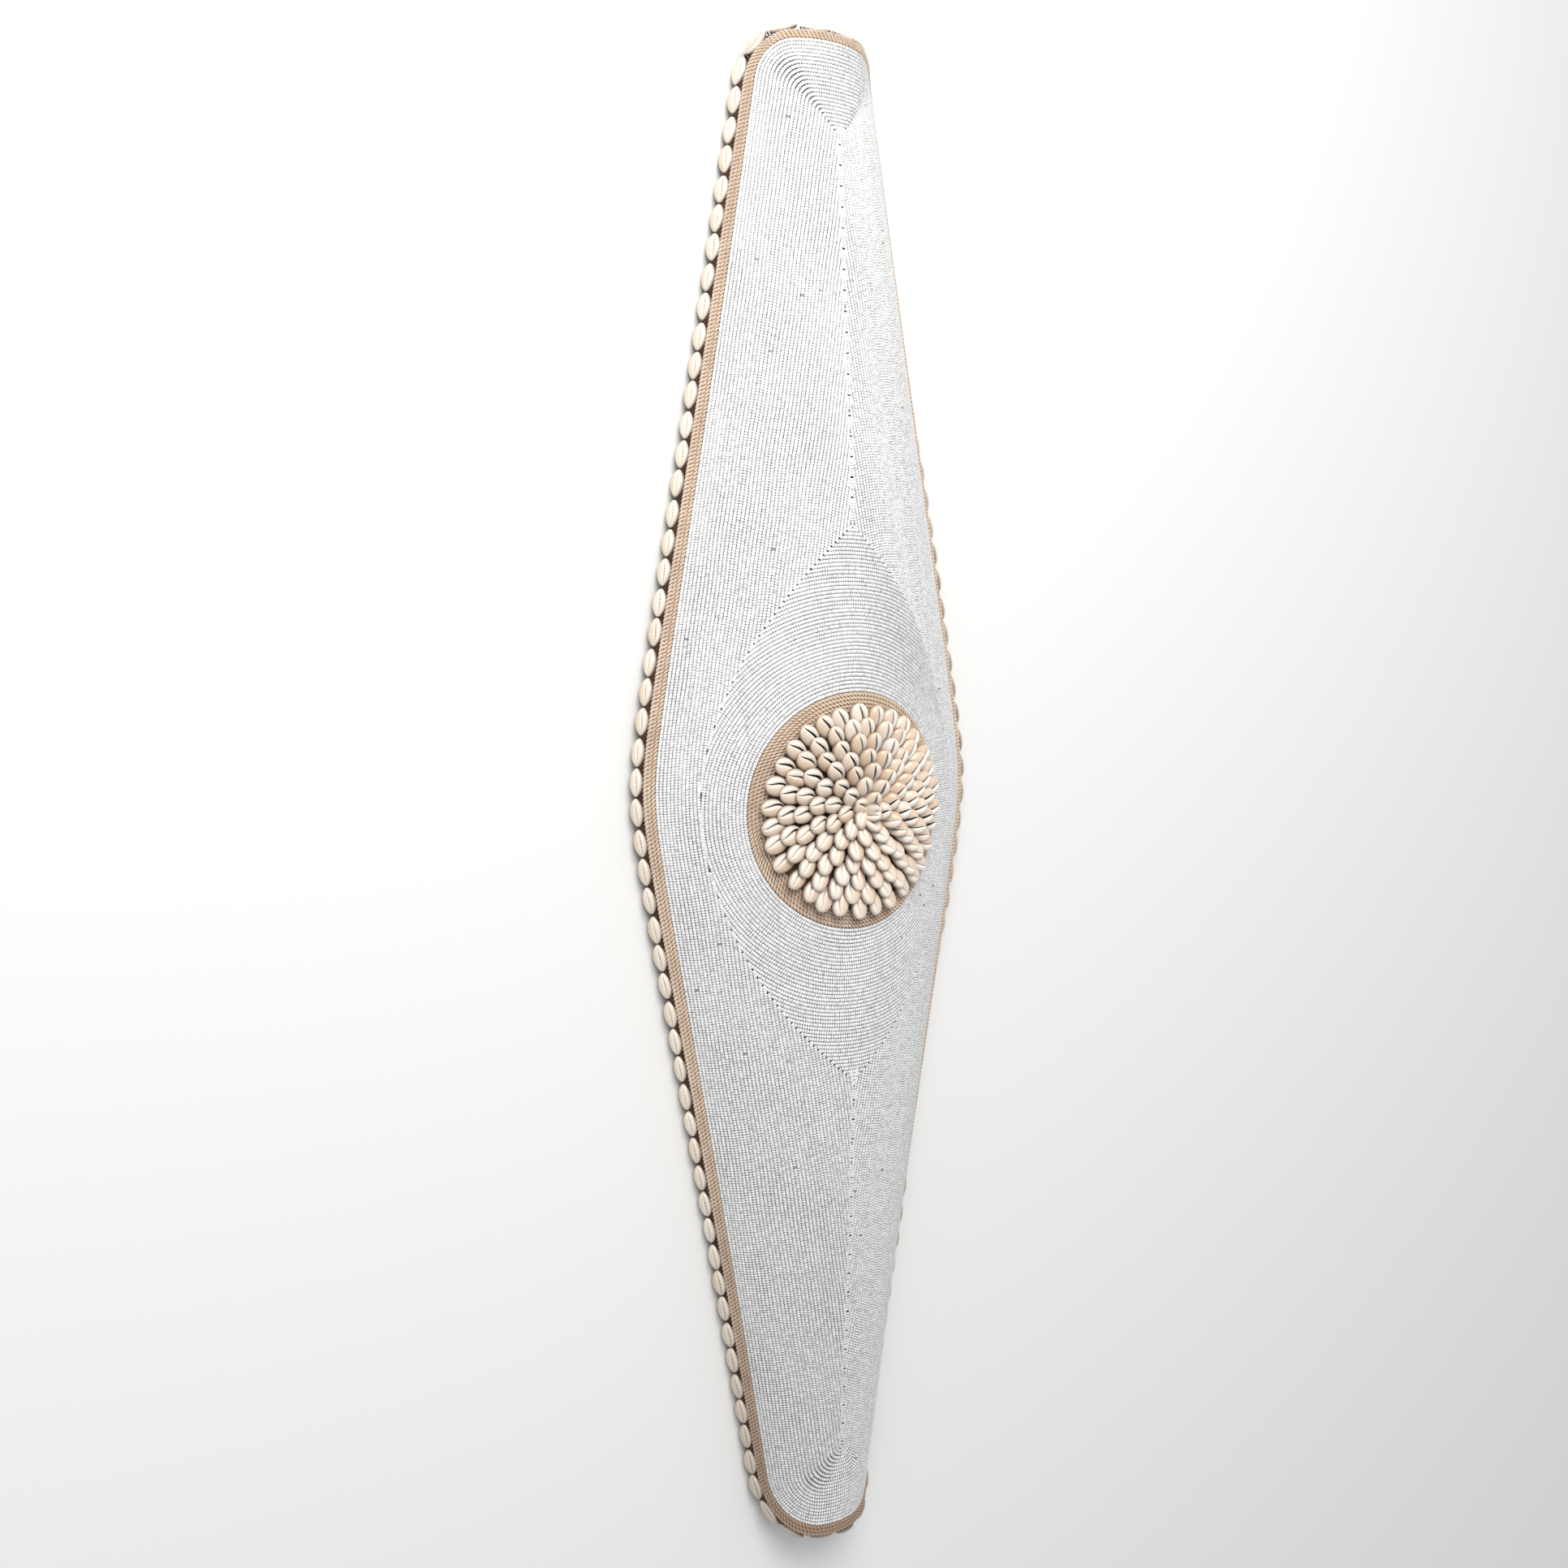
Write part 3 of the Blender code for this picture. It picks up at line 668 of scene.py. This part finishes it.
# Where the border stands proud: by the widest place and near the lower end of the right side
def proudAt(s, v):
    (start, stop), (startFade, stopFade) = border["proudMiddle"], border["proudFades"]
    middle = np.clip((v - start) / startFade, 0, 1) * np.clip((stop - v) / stopFade, 0, 1)
    low = np.clip((border["proudLow"] - v) / border["lowFade"], 0, 1)
    return (middle + low) * np.clip(s / border["sideFade"], 0, 1)


# Two-ply twine laid along a flat closed line
def layTwine(name, line, finish, stands, start, strand=0):
    line = evenly(np.concatenate([line, line[:1]]), border["layLength"] / border["stepsPerTurn"], True)
    count, sides = len(line), border["sides"]
    ahead = tangents(line, True)
    side = np.stack([ahead[:, 1], -ahead[:, 0]], axis=1)
    turnsWhole = max(round(count / border["stepsPerTurn"]), 1)
    turn = start - 2 * math.pi * turnsWhole * np.arange(count) / count
    corner = 2 * math.pi * np.arange(sides) / sides
    crest = np.abs(np.cos(corner))
    half = border["twineWidth"] / 2 * border["fullness"]
    reach = half * (border["valley"] + (1 - border["valley"]) * crest)
    angle = turn[:, None] + corner[None, :]
    out, up = reach * np.cos(angle) * border["flatness"], reach * np.sin(angle)
    s = line[:, :1] + side[:, :1] * out
    v = line[:, 1:] + side[:, 1:] * out
    rise = border["proud"] * strand * proudAt(line[:, :1], line[:, 1:])
    points = onFront(s, v, clothTop + rise + border["twineWidth"] / 2 + up).reshape(-1, 3)
    # the crest mark also paints each ply pale along its crest, a painted highlight, and dark in its valleys,
    # painted shade
    values = {"plyCrest": np.tile(crest, count)}
    makePiece(name, points, gridFaces(count, sides, True, True), finish, values, stands)


def makeTwine():
    tan = twineFinish("tan twine", (0.25, 0.155, 0.095), (0.64, 0.455, 0.315), (0.89, 0.76, 0.63))
    palest = twineFinish("pale twine", (0.27, 0.175, 0.12), (0.67, 0.51, 0.385), (0.92, 0.82, 0.72))
    for strand, name in enumerate(("inner", "middle", "outer")):
        grow = layers["gap"] + twinePitch * strand + border["twineWidth"] / 2
        last = strand == border["strands"] - 1
        layTwine("edge_twine_" + name + "_laid", flatOutline(grow, 0.8 * mm),
                 palest if last else tan,
                 ("edge_twine_" + name,), strand * border["startStep"], strand)
    inner, outer = padRadius + layers["gap"], boss["radius"] - layers["gap"]
    pitch = (outer - inner) / boss["turns"]
    for turn in range(boss["turns"]):
        reach = inner + pitch * (turn + 0.5)
        around = np.linspace(0, 2 * math.pi, boss["turnPoints"], endpoint=False)
        line = np.array([0.0, bossPlace]) + reach * np.stack([np.cos(around), np.sin(around)], axis=1)
        layTwine(f"boss_twine_turn_{turn + 1}", line, tan, ("boss_twine",),
                 turn * boss["startStep"])
    print("twine laid")


makeTwine()


# One cowrie, lying on its cut back with the slit up: along its length, across it, and up
cowrie = {
    "forms": 5,               # shapes that each kind of shell is drawn from
    "stations": 23,
    "belly": 0.36,            # height of the widest line, as a share of the thickness
    "crown": 2.2,
    "shoulder": 0.55,
    "slitDepth": 0.50,
    "slitFloor": 0.62,        # width of the slit's bottom, as a share of its mouth
    "lipRound": 0.17,         # how far the lips round down into the slit
    "teeth": {"edge": 0.60, "boss": 0.14},
    "darkRim": 0.80,          # from here to the edge a shell darkens: painted shade at its rim and ends
    "leftSteps": (0.0, 0.05, 0.15, 0.33, 0.58, 0.82, 0.94, 1.0),
    "rightSteps": (0.0, 0.12, 0.36, 0.68, 0.91, 1.0),
}


def slitLine(place, along, mouth, rng):
    if place == "edge":
        line = 0.28 + 0.05 * np.sin(2.2 * along) + rng.uniform(-0.05, 0.05)
        return line, mouth * (1 - 0.25 * along ** 2)
    far = (along + 1) / 2
    line = 0.46 - 0.60 * np.clip((far - 0.30) / 0.70, 0, 1) ** 1.5 + rng.uniform(-0.06, 0.06)
    return line, mouth * (1.4 - 0.55 * far)


def cowrieForm(place, mouth, seed):
    rng = np.random.default_rng(seed)
    n = cowrie["stations"]
    along = 0.5 * np.cos(np.linspace(math.pi, 0, n)) + 0.5 * np.linspace(-1, 1, n)
    along = along[1:-1]
    if place == "edge":
        width = (1 - np.abs(along) ** 1.9) ** 0.70
    else:
        width = (1 - np.abs(along) ** 2.25) ** 0.52 * (1 + 0.10 * along)
    thick = (1 - np.abs(along) ** 2.6) ** 0.5
    line, mouth = slitLine(place, along, mouth * rng.uniform(0.8, 1.2), rng)
    mouth = mouth * (1 - np.abs(along) ** 7)
    tooth = mouth * (1 + cowrie["teeth"][place] * np.where(np.arange(len(along)) % 2 == 0, 1, -1))
    left, right = line - tooth, line + tooth
    core = cowrie["belly"]
    columns = [(-1 + (left + 1) * t, 0) for t in cowrie["leftSteps"]]
    columns += [(line - mouth * cowrie["slitFloor"], 1), (line + mouth * cowrie["slitFloor"], 1)]
    columns += [(right + (1 - right) * t, 0) for t in cowrie["rightSteps"]]
    across, up, lip, slit, shade = [], [], [], [], []
    for w, isFloor in columns:
        dome = np.maximum(1 - np.abs(w) ** cowrie["crown"], 0) ** cowrie["shoulder"]
        dome = core + (1 - core) * dome
        away = np.maximum(np.maximum(left - w, w - right), 0)
        dome = dome - cowrie["lipRound"] * np.exp(-away / 0.11) * (1 - along ** 6)
        dome = dome - isFloor * cowrie["slitDepth"] * (1 - along ** 8)
        across.append(w)
        up.append(dome)
        onRight = np.where(w > line, 0.55, 0.0)
        lip.append(np.clip(0.85 * np.exp(-away / 0.12) + onRight, 0, 1) * (1 - isFloor))
        # the slit's floor is painted near black, as shade inside the opening
        slit.append(np.where((np.abs(along) < 0.97) & (isFloor > 0), 1.0, 0.0))
        # painted shade towards the rim and the ends
        rim = np.maximum(np.abs(w) + 0 * along, np.abs(along) ** 3)
        shade.append(0.8 * np.clip((rim - cowrie["darkRim"]) / (1 - cowrie["darkRim"]), 0, 1) ** 1.3)
    # the cut back underneath, painted fully dark as shade
    for w in (0.80, 0.0, -0.80):
        across.append(np.full(len(along), w))
        up.append(np.full(len(along), 0.03))
        lip.append(np.zeros(len(along)))
        slit.append(np.zeros(len(along)))
        shade.append(np.ones(len(along)))
    across, up, lip, slit, shade = (np.stack(part, axis=1) for part in (across, up, lip, slit, shade))
    up = np.maximum(core + (up - core) * thick[:, None], 0.0)
    across = across * width[:, None] / 2
    lengthwise = np.repeat((along[:, None] + 1) / 2, across.shape[1], axis=1)
    ring = np.stack([lengthwise, across, up], axis=-1).reshape(-1, 3)
    points = np.concatenate([[[0.0, 0.0, core * 0.9]], ring, [[1.0, 0.0, core * 0.9]]])
    marks = [np.concatenate([[0.0], part.ravel(), [0.0]]) for part in (lip, slit, shade)]
    count = across.shape[1]
    faces = gridFaces(len(along), count, False, True, start=1)
    last, tail = len(points) - 1, 1 + (len(along) - 1) * count
    for c in range(count):
        nextC = (c + 1) % count
        faces.append((0, 1 + nextC, 1 + c))
        faces.append((last, tail + c, tail + nextC))
    return points, faces, marks


class ShellString:
    def __init__(self, place, mouths):
        self.forms = [[cowrieForm(place, mouth, seed) for seed in range(cowrie["forms"])] for mouth in mouths]
        self.points, self.faces, self.marks, self.tones = [], [], [], []
        self.count = 0

    def sew(self, root, axes, size, which, flip):
        along, across, up = axes
        length, width, thickness = size
        points, faces, marks = self.forms[which][chance.integers(cowrie["forms"])]
        placed = root + np.outer(points[:, 0] * length, along)
        placed = placed + np.outer(points[:, 1] * width * flip, across)
        self.points.append(placed + np.outer(points[:, 2] * thickness, up))
        if flip < 0:
            faces = [tuple(reversed(f)) for f in faces]
        self.faces += [tuple(i + self.count for i in f) for f in faces]
        self.count += len(points)
        self.marks.append(marks)
        self.tones.append(np.full(len(points), chance.beta(1.5, 2.6)))

    # A loop of dark thread over the joint between two shells
    def bind(self, middle, along, out, down):
        sides, reach, thick = 6, edgeShells["threadReach"], edgeShells["threadWidth"] / 2
        turns = np.linspace(-0.1, math.pi + 0.1, 9)
        away = np.outer(np.sin(turns), out) + np.outer(np.cos(turns), down)
        corners = 2 * math.pi * np.arange(sides) / sides
        ring = away[:, None, :] * np.cos(corners)[None, :, None] + along * np.sin(corners)[None, :, None]
        points = (middle + away[:, None, :] * reach + ring * thick).reshape(-1, 3)
        faces = gridFaces(len(turns), sides, False, True)
        faces += [tuple(range(sides)), tuple(reversed(range(len(points) - sides, len(points))))]
        self.faces += [tuple(i + self.count for i in f) for f in faces]
        self.count += len(points)
        self.points.append(points)
        dark = np.ones(len(points))
        self.marks.append([0 * dark, 0.85 * dark, dark])
        self.tones.append(0 * dark)

    def make(self, name, finish, slot, stands):
        values = {label: np.concatenate([marks[k] for marks in self.marks])
                  for k, label in enumerate(("shellLip", "shellSlit", "shellShadeAndThread"))}
        values["shellTone"] = np.concatenate(self.tones)
        makePiece(name, np.concatenate(self.points), self.faces, finish, values, stands)


def unit(vector):
    return vector / np.linalg.norm(vector)


# Cowries end to end on the side wall, slit outwards
edgeShells = {
    "pitch": 21.3 * mm,
    "fill": 0.985,
    "width": 12.8 * mm,
    "thickness": 6.5 * mm,
    "drop": 6.2 * mm,
    "roll": math.radians(20),     # the slit faces outwards and a little to the front
    "mouth": 0.060,
    "proudOut": 1.6 * mm,
    "proudUp": 2.0 * mm,
    "endOut": {"top": 1.0 * mm, "bottom": -0.2 * mm},     # how far an end's shells stand off the cloth
    "endUp": {"top": 1.2 * mm, "bottom": 0.0},
    "endRoll": {"top": math.radians(38)},
    "endThickness": {"bottom": 5.7 * mm},
    "varies": {"along": 0.02, "roll": 0.07, "length": (0.96, 1.0), "width": (0.93, 1.02)},
    "threadReach": 2.9 * mm,
    "threadWidth": 1.3 * mm,
}


def makeEdgeShells():
    line = flatOutline(bandWidth, 1.0 * mm)
    curve = onFront(line[:, 0], line[:, 1], clothTop)
    ahead = tangents(curve, True)
    out = outFrom(curve)
    down = np.cross(out, ahead)
    down *= np.sign(-down[:, 2])[:, None]
    down /= np.linalg.norm(down, axis=1)[:, None]
    path = curve + down * edgeShells["drop"]
    steps = np.linalg.norm(np.roll(path, -1, axis=0) - path, axis=1)
    reached = np.concatenate([[0.0], np.cumsum(steps)])
    count = round(reached[-1] / edgeShells["pitch"])
    pitch = reached[-1] / count
    endLine = (front["fieldLength"] + bandWidth) / 2 - edgeShells["pitch"] / 2
    strings, varies = {}, edgeShells["varies"]
    for i in range(count):
        k = int(np.searchsorted(reached, pitch * (i + 0.5))) % len(path)
        middle = path[k]
        if abs(middle[1]) > endLine:
            run = "top" if middle[1] > 0 else "bottom"
        else:
            run = "right" if middle[0] > 0 else "left"
        string = strings.setdefault(run, ShellString("edge", (edgeShells["mouth"],)))
        along = unit(ahead[k] + chance.normal(0, varies["along"], 3))
        roll = edgeShells["endRoll"].get(run, edgeShells["roll"]) + chance.normal(0, varies["roll"])
        up = out[k] * math.cos(roll) - down[k] * math.sin(roll)
        across = unit(np.cross(up, along))
        up = unit(np.cross(along, across))
        length = pitch * edgeShells["fill"] * chance.uniform(*varies["length"])
        width = edgeShells["width"] * chance.uniform(*varies["width"])
        proud = float(proudAt(line[k, 0], line[k, 1]))
        thickness = edgeShells["endThickness"].get(run, edgeShells["thickness"])
        away = layers["gap"] + edgeShells["proudOut"] * proud + edgeShells["endOut"].get(run, 0)
        raised = edgeShells["proudUp"] * proud + edgeShells["endUp"].get(run, 0)
        root = middle - along * length / 2 + out[k] * away - down[k] * raised
        flip = 1 if across @ down[k] < 0 else -1
        string.sew(root, (along, across, up), (length, width, thickness), 0, flip)
        joint = int(np.searchsorted(reached, pitch * (i + 1))) % len(path)
        seat = path[joint] + out[joint] * away - down[joint] * raised
        string.bind(seat, ahead[joint], out[joint], down[joint])
    finish = shellFinish("edge cowrie shell", (0.72, 0.575, 0.43), (0.80, 0.615, 0.41), (0.90, 0.84, 0.75))
    for run, string in strings.items():
        string.make("cowries_on_" + run + "_edge", finish, "edge_shell", ("edge_cowries_" + run,))
    print("edge cowries:", count)


makeEdgeShells()


def padHeight(radius):
    share = min(radius / padRadius, 1.0)
    return boss["cushionEdge"] + (boss["cushionHeight"] - boss["cushionEdge"]) * (1 - share * share)


def onBoss(radius, turn, lift):
    s, v = radius * math.cos(turn), bossPlace + radius * math.sin(turn)
    return onFront(np.array(s), np.array(v), clothTop + lift)


def makeBossPad():
    rings, around = 16, 96
    points = [onBoss(0, 0, padHeight(0))]
    for r in range(1, rings + 1):
        radius = padRadius * r / rings
        points += [onBoss(radius, 2 * math.pi * k / around, padHeight(radius)) for k in range(around)]
    points += [onBoss(padRadius, 2 * math.pi * k / around, layers["gap"]) for k in range(around)]
    points.append(onBoss(0, 0, layers["gap"]))
    faces = gridFaces(rings + 1, around, False, True, start=1)
    last, foot = len(points) - 1, 1 + rings * around
    for k in range(around):
        nextK = (k + 1) % around
        faces.append((0, 1 + k, 1 + nextK))
        faces.append((last, foot + nextK, foot + k))
    finish = clothFinish("brown pad cloth", (0.20, 0.14, 0.10), (0.36, 0.28, 0.22))
    makePiece("boss_pad", points, faces, finish, {}, ("boss_cushion",))
    print("boss pad:", len(faces), "faces")


makeBossPad()


def makeBossShells():
    finish = shellFinish("boss cowrie shell", (0.69, 0.49, 0.34), (0.77, 0.54, 0.35), (0.94, 0.89, 0.81))
    total, varies = 0, boss["varies"]
    for index in range(boss["rings"]):
        share = index / (boss["rings"] - 1)
        lean = boss["outerLean"] + (boss["innerLean"] - boss["outerLean"]) * share
        tip = boss["reach"] - boss["ringStep"] * index
        middle = tip - boss["shellLength"] / 3
        count = max(round(2 * math.pi * middle / boss["shellWidth"]), 5)
        ring = ShellString("boss", boss["mouths"])
        for i in range(count):
            turn = 2 * math.pi * (i + index / 2) / count + chance.normal(0, varies["turn"])
            # on the left the inner shells lie flatter
            flatter = 1 - (1 - boss["leanLeft"]) * share * (1 - math.cos(turn)) / 2
            tilt = boss["outerLean"] + (lean - boss["outerLean"]) * flatter + chance.normal(0, varies["tilt"])
            root = tip - boss["shellLength"] * math.cos(tilt)
            foot = padHeight(abs(root)) + layers["gap"]
            base = onBoss(root, turn, foot)
            flatAhead = unit(onBoss(root + 1 * mm, turn, foot) - base)
            upward = unit(onBoss(root, turn, foot + 1 * mm) - base)
            along = flatAhead * math.cos(tilt) + upward * math.sin(tilt)
            up = upward * math.cos(tilt) - flatAhead * math.sin(tilt)
            across = np.cross(up, along)
            roll = boss["roll"] + chance.normal(0, varies["roll"])
            rolledUp = up * math.cos(roll) + across * math.sin(roll)
            across = across * math.cos(roll) - up * math.sin(roll)
            length = boss["shellLength"] * chance.uniform(*varies["length"])
            width = boss["shellWidth"] * chance.uniform(*varies["width"])
            which = 1 if math.sin(turn) < boss["closedBelow"] else 0
            ring.sew(base, (along, across, rolledUp), (length, width, boss["shellThickness"]), which, -1)
        # upright shells fill the middle of the innermost ring
        if index == boss["rings"] - 1:
            for i in range(boss["middleShells"]):
                turn = boss["middleSpread"] * (i - (boss["middleShells"] - 1) / 2)
                base = onBoss(boss["middleReach"], turn, foot)
                upward = unit(onBoss(boss["middleReach"], turn, foot + 1 * mm) - base)
                flatAhead = unit(onBoss(boss["middleReach"] + 1 * mm, turn, foot) - base)
                along = unit(upward + flatAhead * boss["middleTilt"])
                up = unit(upward * boss["middleTilt"] - flatAhead)
                length, width = boss["shellLength"], boss["shellWidth"] * boss["middleWidth"]
                size = (length * boss["middleLength"], width, boss["shellThickness"])
                ring.sew(base, (along, np.cross(up, along), up), size, 0, -1)
            count += boss["middleShells"]
        total += count
        ring.make(f"boss_shells_ring_{index + 1}", finish, "boss_shell", (f"boss_cowries_ring_{index + 1}",))
    print("boss cowries:", total)


makeBossShells()


# The board and its cloth are skins of loops that run round the shield
def loopAt(grow, count):
    line = flatOutline(grow, 1 * mm)
    line = np.concatenate([line, line[:1]])
    along = np.concatenate([[0.0], np.cumsum(np.linalg.norm(np.diff(line, axis=0), axis=1))])
    marks = np.linspace(0, along[-1], count, endpoint=False)
    return np.interp(marks, along, line[:, 0]), np.interp(marks, along, line[:, 1])


def atHeight(loop, z, out=0.0):
    moved = loop + outFrom(loop) * out
    moved[:, 2] = z
    return moved


def closedSkin(loops):
    count = len(loops[0])
    faces = [tuple(reversed(f)) for f in gridFaces(len(loops), count, False, True)]
    for start, isTop in ((0, True), ((len(loops) - 1) * count, False)):
        for i in range(count // 2):
            corners = (i, i + 1, (count - i - 1) % count, (count - i) % count)
            corners = list(dict.fromkeys(start + c for c in corners))
            faces.append(tuple(corners if isTop else reversed(corners)))
    return np.concatenate(loops), faces


cloth = {
    "around": 420,
    "topDepths": (140, 120, 95, 70, 45, 25, 10, 0),      # mm in from the edge of the beads
    "underDepths": (0, 20, 60, 100, 140),
    "bandShares": (0.5, 0.9),
    # the cloth's roll between the twine and the shells: how far out in mm, and how far down its side
    "roll": ((1.0, 0.06), (1.9, 0.17), (2.1, 0.32), (1.9, 0.55), (1.0, 0.80), (0.0, 1.0)),
}


def makeCloth():
    count = cloth["around"]
    loops = []
    for depth in cloth["topDepths"]:
        s, v = loopAt(-depth * mm, count)
        loops.append(onFront(s, v, clothTop - beadwork["sink"] * (s > 0) * (depth < 10)))
    for share in cloth["bandShares"]:
        s, v = loopAt(bandWidth * share, count)
        loops.append(onFront(s, v, clothTop + border["proud"] * 2 * share * proudAt(s, v)))
    s, v = loopAt(bandWidth, count)
    edge = onFront(s, v, clothTop + border["proud"] * 2 * proudAt(s, v))
    edgeHeight = edge[:, 2].copy()
    for out, share in cloth["roll"]:
        loops.append(atHeight(edge, edgeHeight + (layers["hemHeight"] - edgeHeight) * share, out * mm))
    s, v = loopAt(bandWidth - layers["clothThickness"], count)
    inside = onFront(s, v, clothBottom)
    loops.append(atHeight(inside, layers["hemHeight"]))
    loops.append(inside)
    for depth in cloth["underDepths"]:
        loops.append(onFront(*loopAt(-depth * mm, count), clothBottom))
    points, faces = closedSkin(loops)
    finish = clothFinish("dark brown cloth", (0.060, 0.026, 0.017), (0.14, 0.075, 0.050))
    makePiece("cloth_over_board", points, faces, finish, {}, ("base_cloth",))
    print("cloth:", len(faces), "faces")


makeCloth()

board = {
    "around": 440,
    "topDepths": (140, 100, 60, 20, 0),
    "chamfer": 1.2 * mm,
    "wallShares": (0.35, 0.7, 1.0),     # heights up the inside wall, which the tool left a little uneven
    "wallWave": 0.35 * mm,
    "hollowStep": 4.5 * mm,
    "gougeDepth": 0.55 * mm,
    "gougeLength": 21 * mm,
    "gougeWidth": 8.5 * mm,
}


# Shallow scoops left by the gouge, in rows along the hollow
def gouges(s, v):
    row = np.floor(s / board["gougeWidth"])
    across = s / board["gougeWidth"] - row
    shift = np.sin(row * 12.9) * 0.5 + 0.12 * np.sin(v / (45 * mm))
    along = v / board["gougeLength"] + shift
    along = along - np.floor(along)
    scoop = (1 - (2 * across - 1) ** 2) * np.sqrt(np.clip(1 - (2 * along - 1) ** 2, 0, 1))
    return board["gougeDepth"] * (scoop - 0.4) * (0.75 + 0.25 * np.sin(row * 5.1 + v / (60 * mm)))


def makeBoard():
    count, rimInside = board["around"], boardEdge - layers["rimWidth"]
    loops = [onFront(*loopAt(-depth * mm, count), boardTop) for depth in board["topDepths"]]
    edge = onFront(*loopAt(boardEdge, count), boardTop)
    inner = onFront(*loopAt(rimInside, count), hollowTop)
    chamfer = board["chamfer"]
    loops += [edge, atHeight(edge, chamfer), atHeight(edge, 0.0, -chamfer)]
    loops += [atHeight(inner, 0.0, chamfer), atHeight(inner, chamfer)]
    height = inner[:, 2].copy()
    for share in board["wallShares"]:
        wave = board["wallWave"] * math.sin(share * 9)
        loops.append(atHeight(inner, chamfer + (height - chamfer) * share, wave))
    depth = board["hollowStep"] - rimInside
    while depth < middleArch[1] - board["hollowStep"]:
        s, v = loopAt(-depth, count)
        loops.append(onFront(s, v, hollowTop + gouges(s, v)))
        depth += board["hollowStep"]
    points, faces = closedSkin(loops)
    makePiece("carved_board", points, faces, woodFinish(), {}, ("wooden_board",))
    print("board:", len(faces), "faces")


makeBoard()


# Floor, light and camera
studio = {
    "floorColour": (0.86, 0.86, 0.85),
    "worldColour": (0.95, 0.97, 1.0),
    "worldStrength": 0.56,
    "floorReach": 6.0,
    "lightColour": (1.0, 0.98, 0.95),
    "lights": {
        "key light": {"power": 37.5, "size": 1.2, "spot": (-0.5, 1.3, 1.5), "aim": (0, 0.1, 0)},
        "fill light": {"power": 0.8, "size": 1.6, "spot": (1.4, -0.6, 1.2), "aim": (0, 0, 0)},
    },
}
view = {
    "azimuth": 0.565,
    "elevation": 0.076,
    "roll": -0.005,
    "distance": 1100 * mm,
    "target": (-29.117 * mm, 3.294 * mm - boxMiddle, front["beadEdgeHeight"]),
    "focal": 1827.156,        # in pixels of the 1932 pixel frame
    "framePixels": 1932,
}


def makeFloor():
    mesh = bpy.data.meshes.new("floor")
    reach = studio["floorReach"]
    corners = [(-reach, -reach, 0), (reach, -reach, 0), (reach, reach, 0), (-reach, reach, 0)]
    mesh.from_pydata(corners, [], [(0, 1, 2, 3)])
    look = Finish("pale floor", studio["floorColour"], 0.8, 0.2)
    mesh.materials.append(look.material)
    floor = bpy.data.objects.new("floor", mesh)
    bpy.context.scene.collection.objects.link(floor)


def makeLight(name, power, size, spot, aim):
    lamp = bpy.data.lights.new(name, "AREA")
    lamp.energy = power
    lamp.size = size
    lamp.color = studio["lightColour"]
    light = bpy.data.objects.new(name, lamp)
    light.location = spot
    light.rotation_euler = (Vector(aim) - Vector(spot)).to_track_quat("-Z", "Y").to_euler()
    bpy.context.scene.collection.objects.link(light)


def makeStudio():
    makeFloor()
    world = bpy.data.worlds.new("studio")
    world.use_nodes = True
    sky = world.node_tree.nodes["Background"]
    sky.inputs["Color"].default_value = (*studio["worldColour"], 1)
    sky.inputs["Strength"].default_value = studio["worldStrength"]
    bpy.context.scene.world = world
    for name, lamp in studio["lights"].items():
        makeLight(name, **lamp)


def makeCamera():
    azimuth, elevation, roll = view["azimuth"], view["elevation"], view["roll"]
    back = Vector((-math.sin(azimuth) * math.cos(elevation), math.sin(elevation),
                   math.cos(azimuth) * math.cos(elevation)))
    right = Vector((0, 1, 0)).cross(back).normalized()
    up = back.cross(right)
    turnedRight = right * math.cos(roll) + up * math.sin(roll)
    turnedUp = up * math.cos(roll) - right * math.sin(roll)
    lens = bpy.data.cameras.new("camera")
    lens.sensor_width = 36
    lens.sensor_fit = "HORIZONTAL"
    lens.lens = lens.sensor_width * view["focal"] / view["framePixels"]
    lens.clip_start = 0.05
    camera = bpy.data.objects.new("camera", lens)
    spot = Vector(view["target"]) + back * view["distance"]
    turn = Matrix((turnedRight, turnedUp, back)).transposed().to_4x4()
    camera.matrix_world = Matrix.Translation(spot) @ turn
    bpy.context.scene.collection.objects.link(camera)
    bpy.context.scene.camera = camera


makeStudio()
makeCamera()
bpy.context.scene.view_settings.view_transform = "Standard"
print("stage and camera set")

bpy.context.view_layer.update()
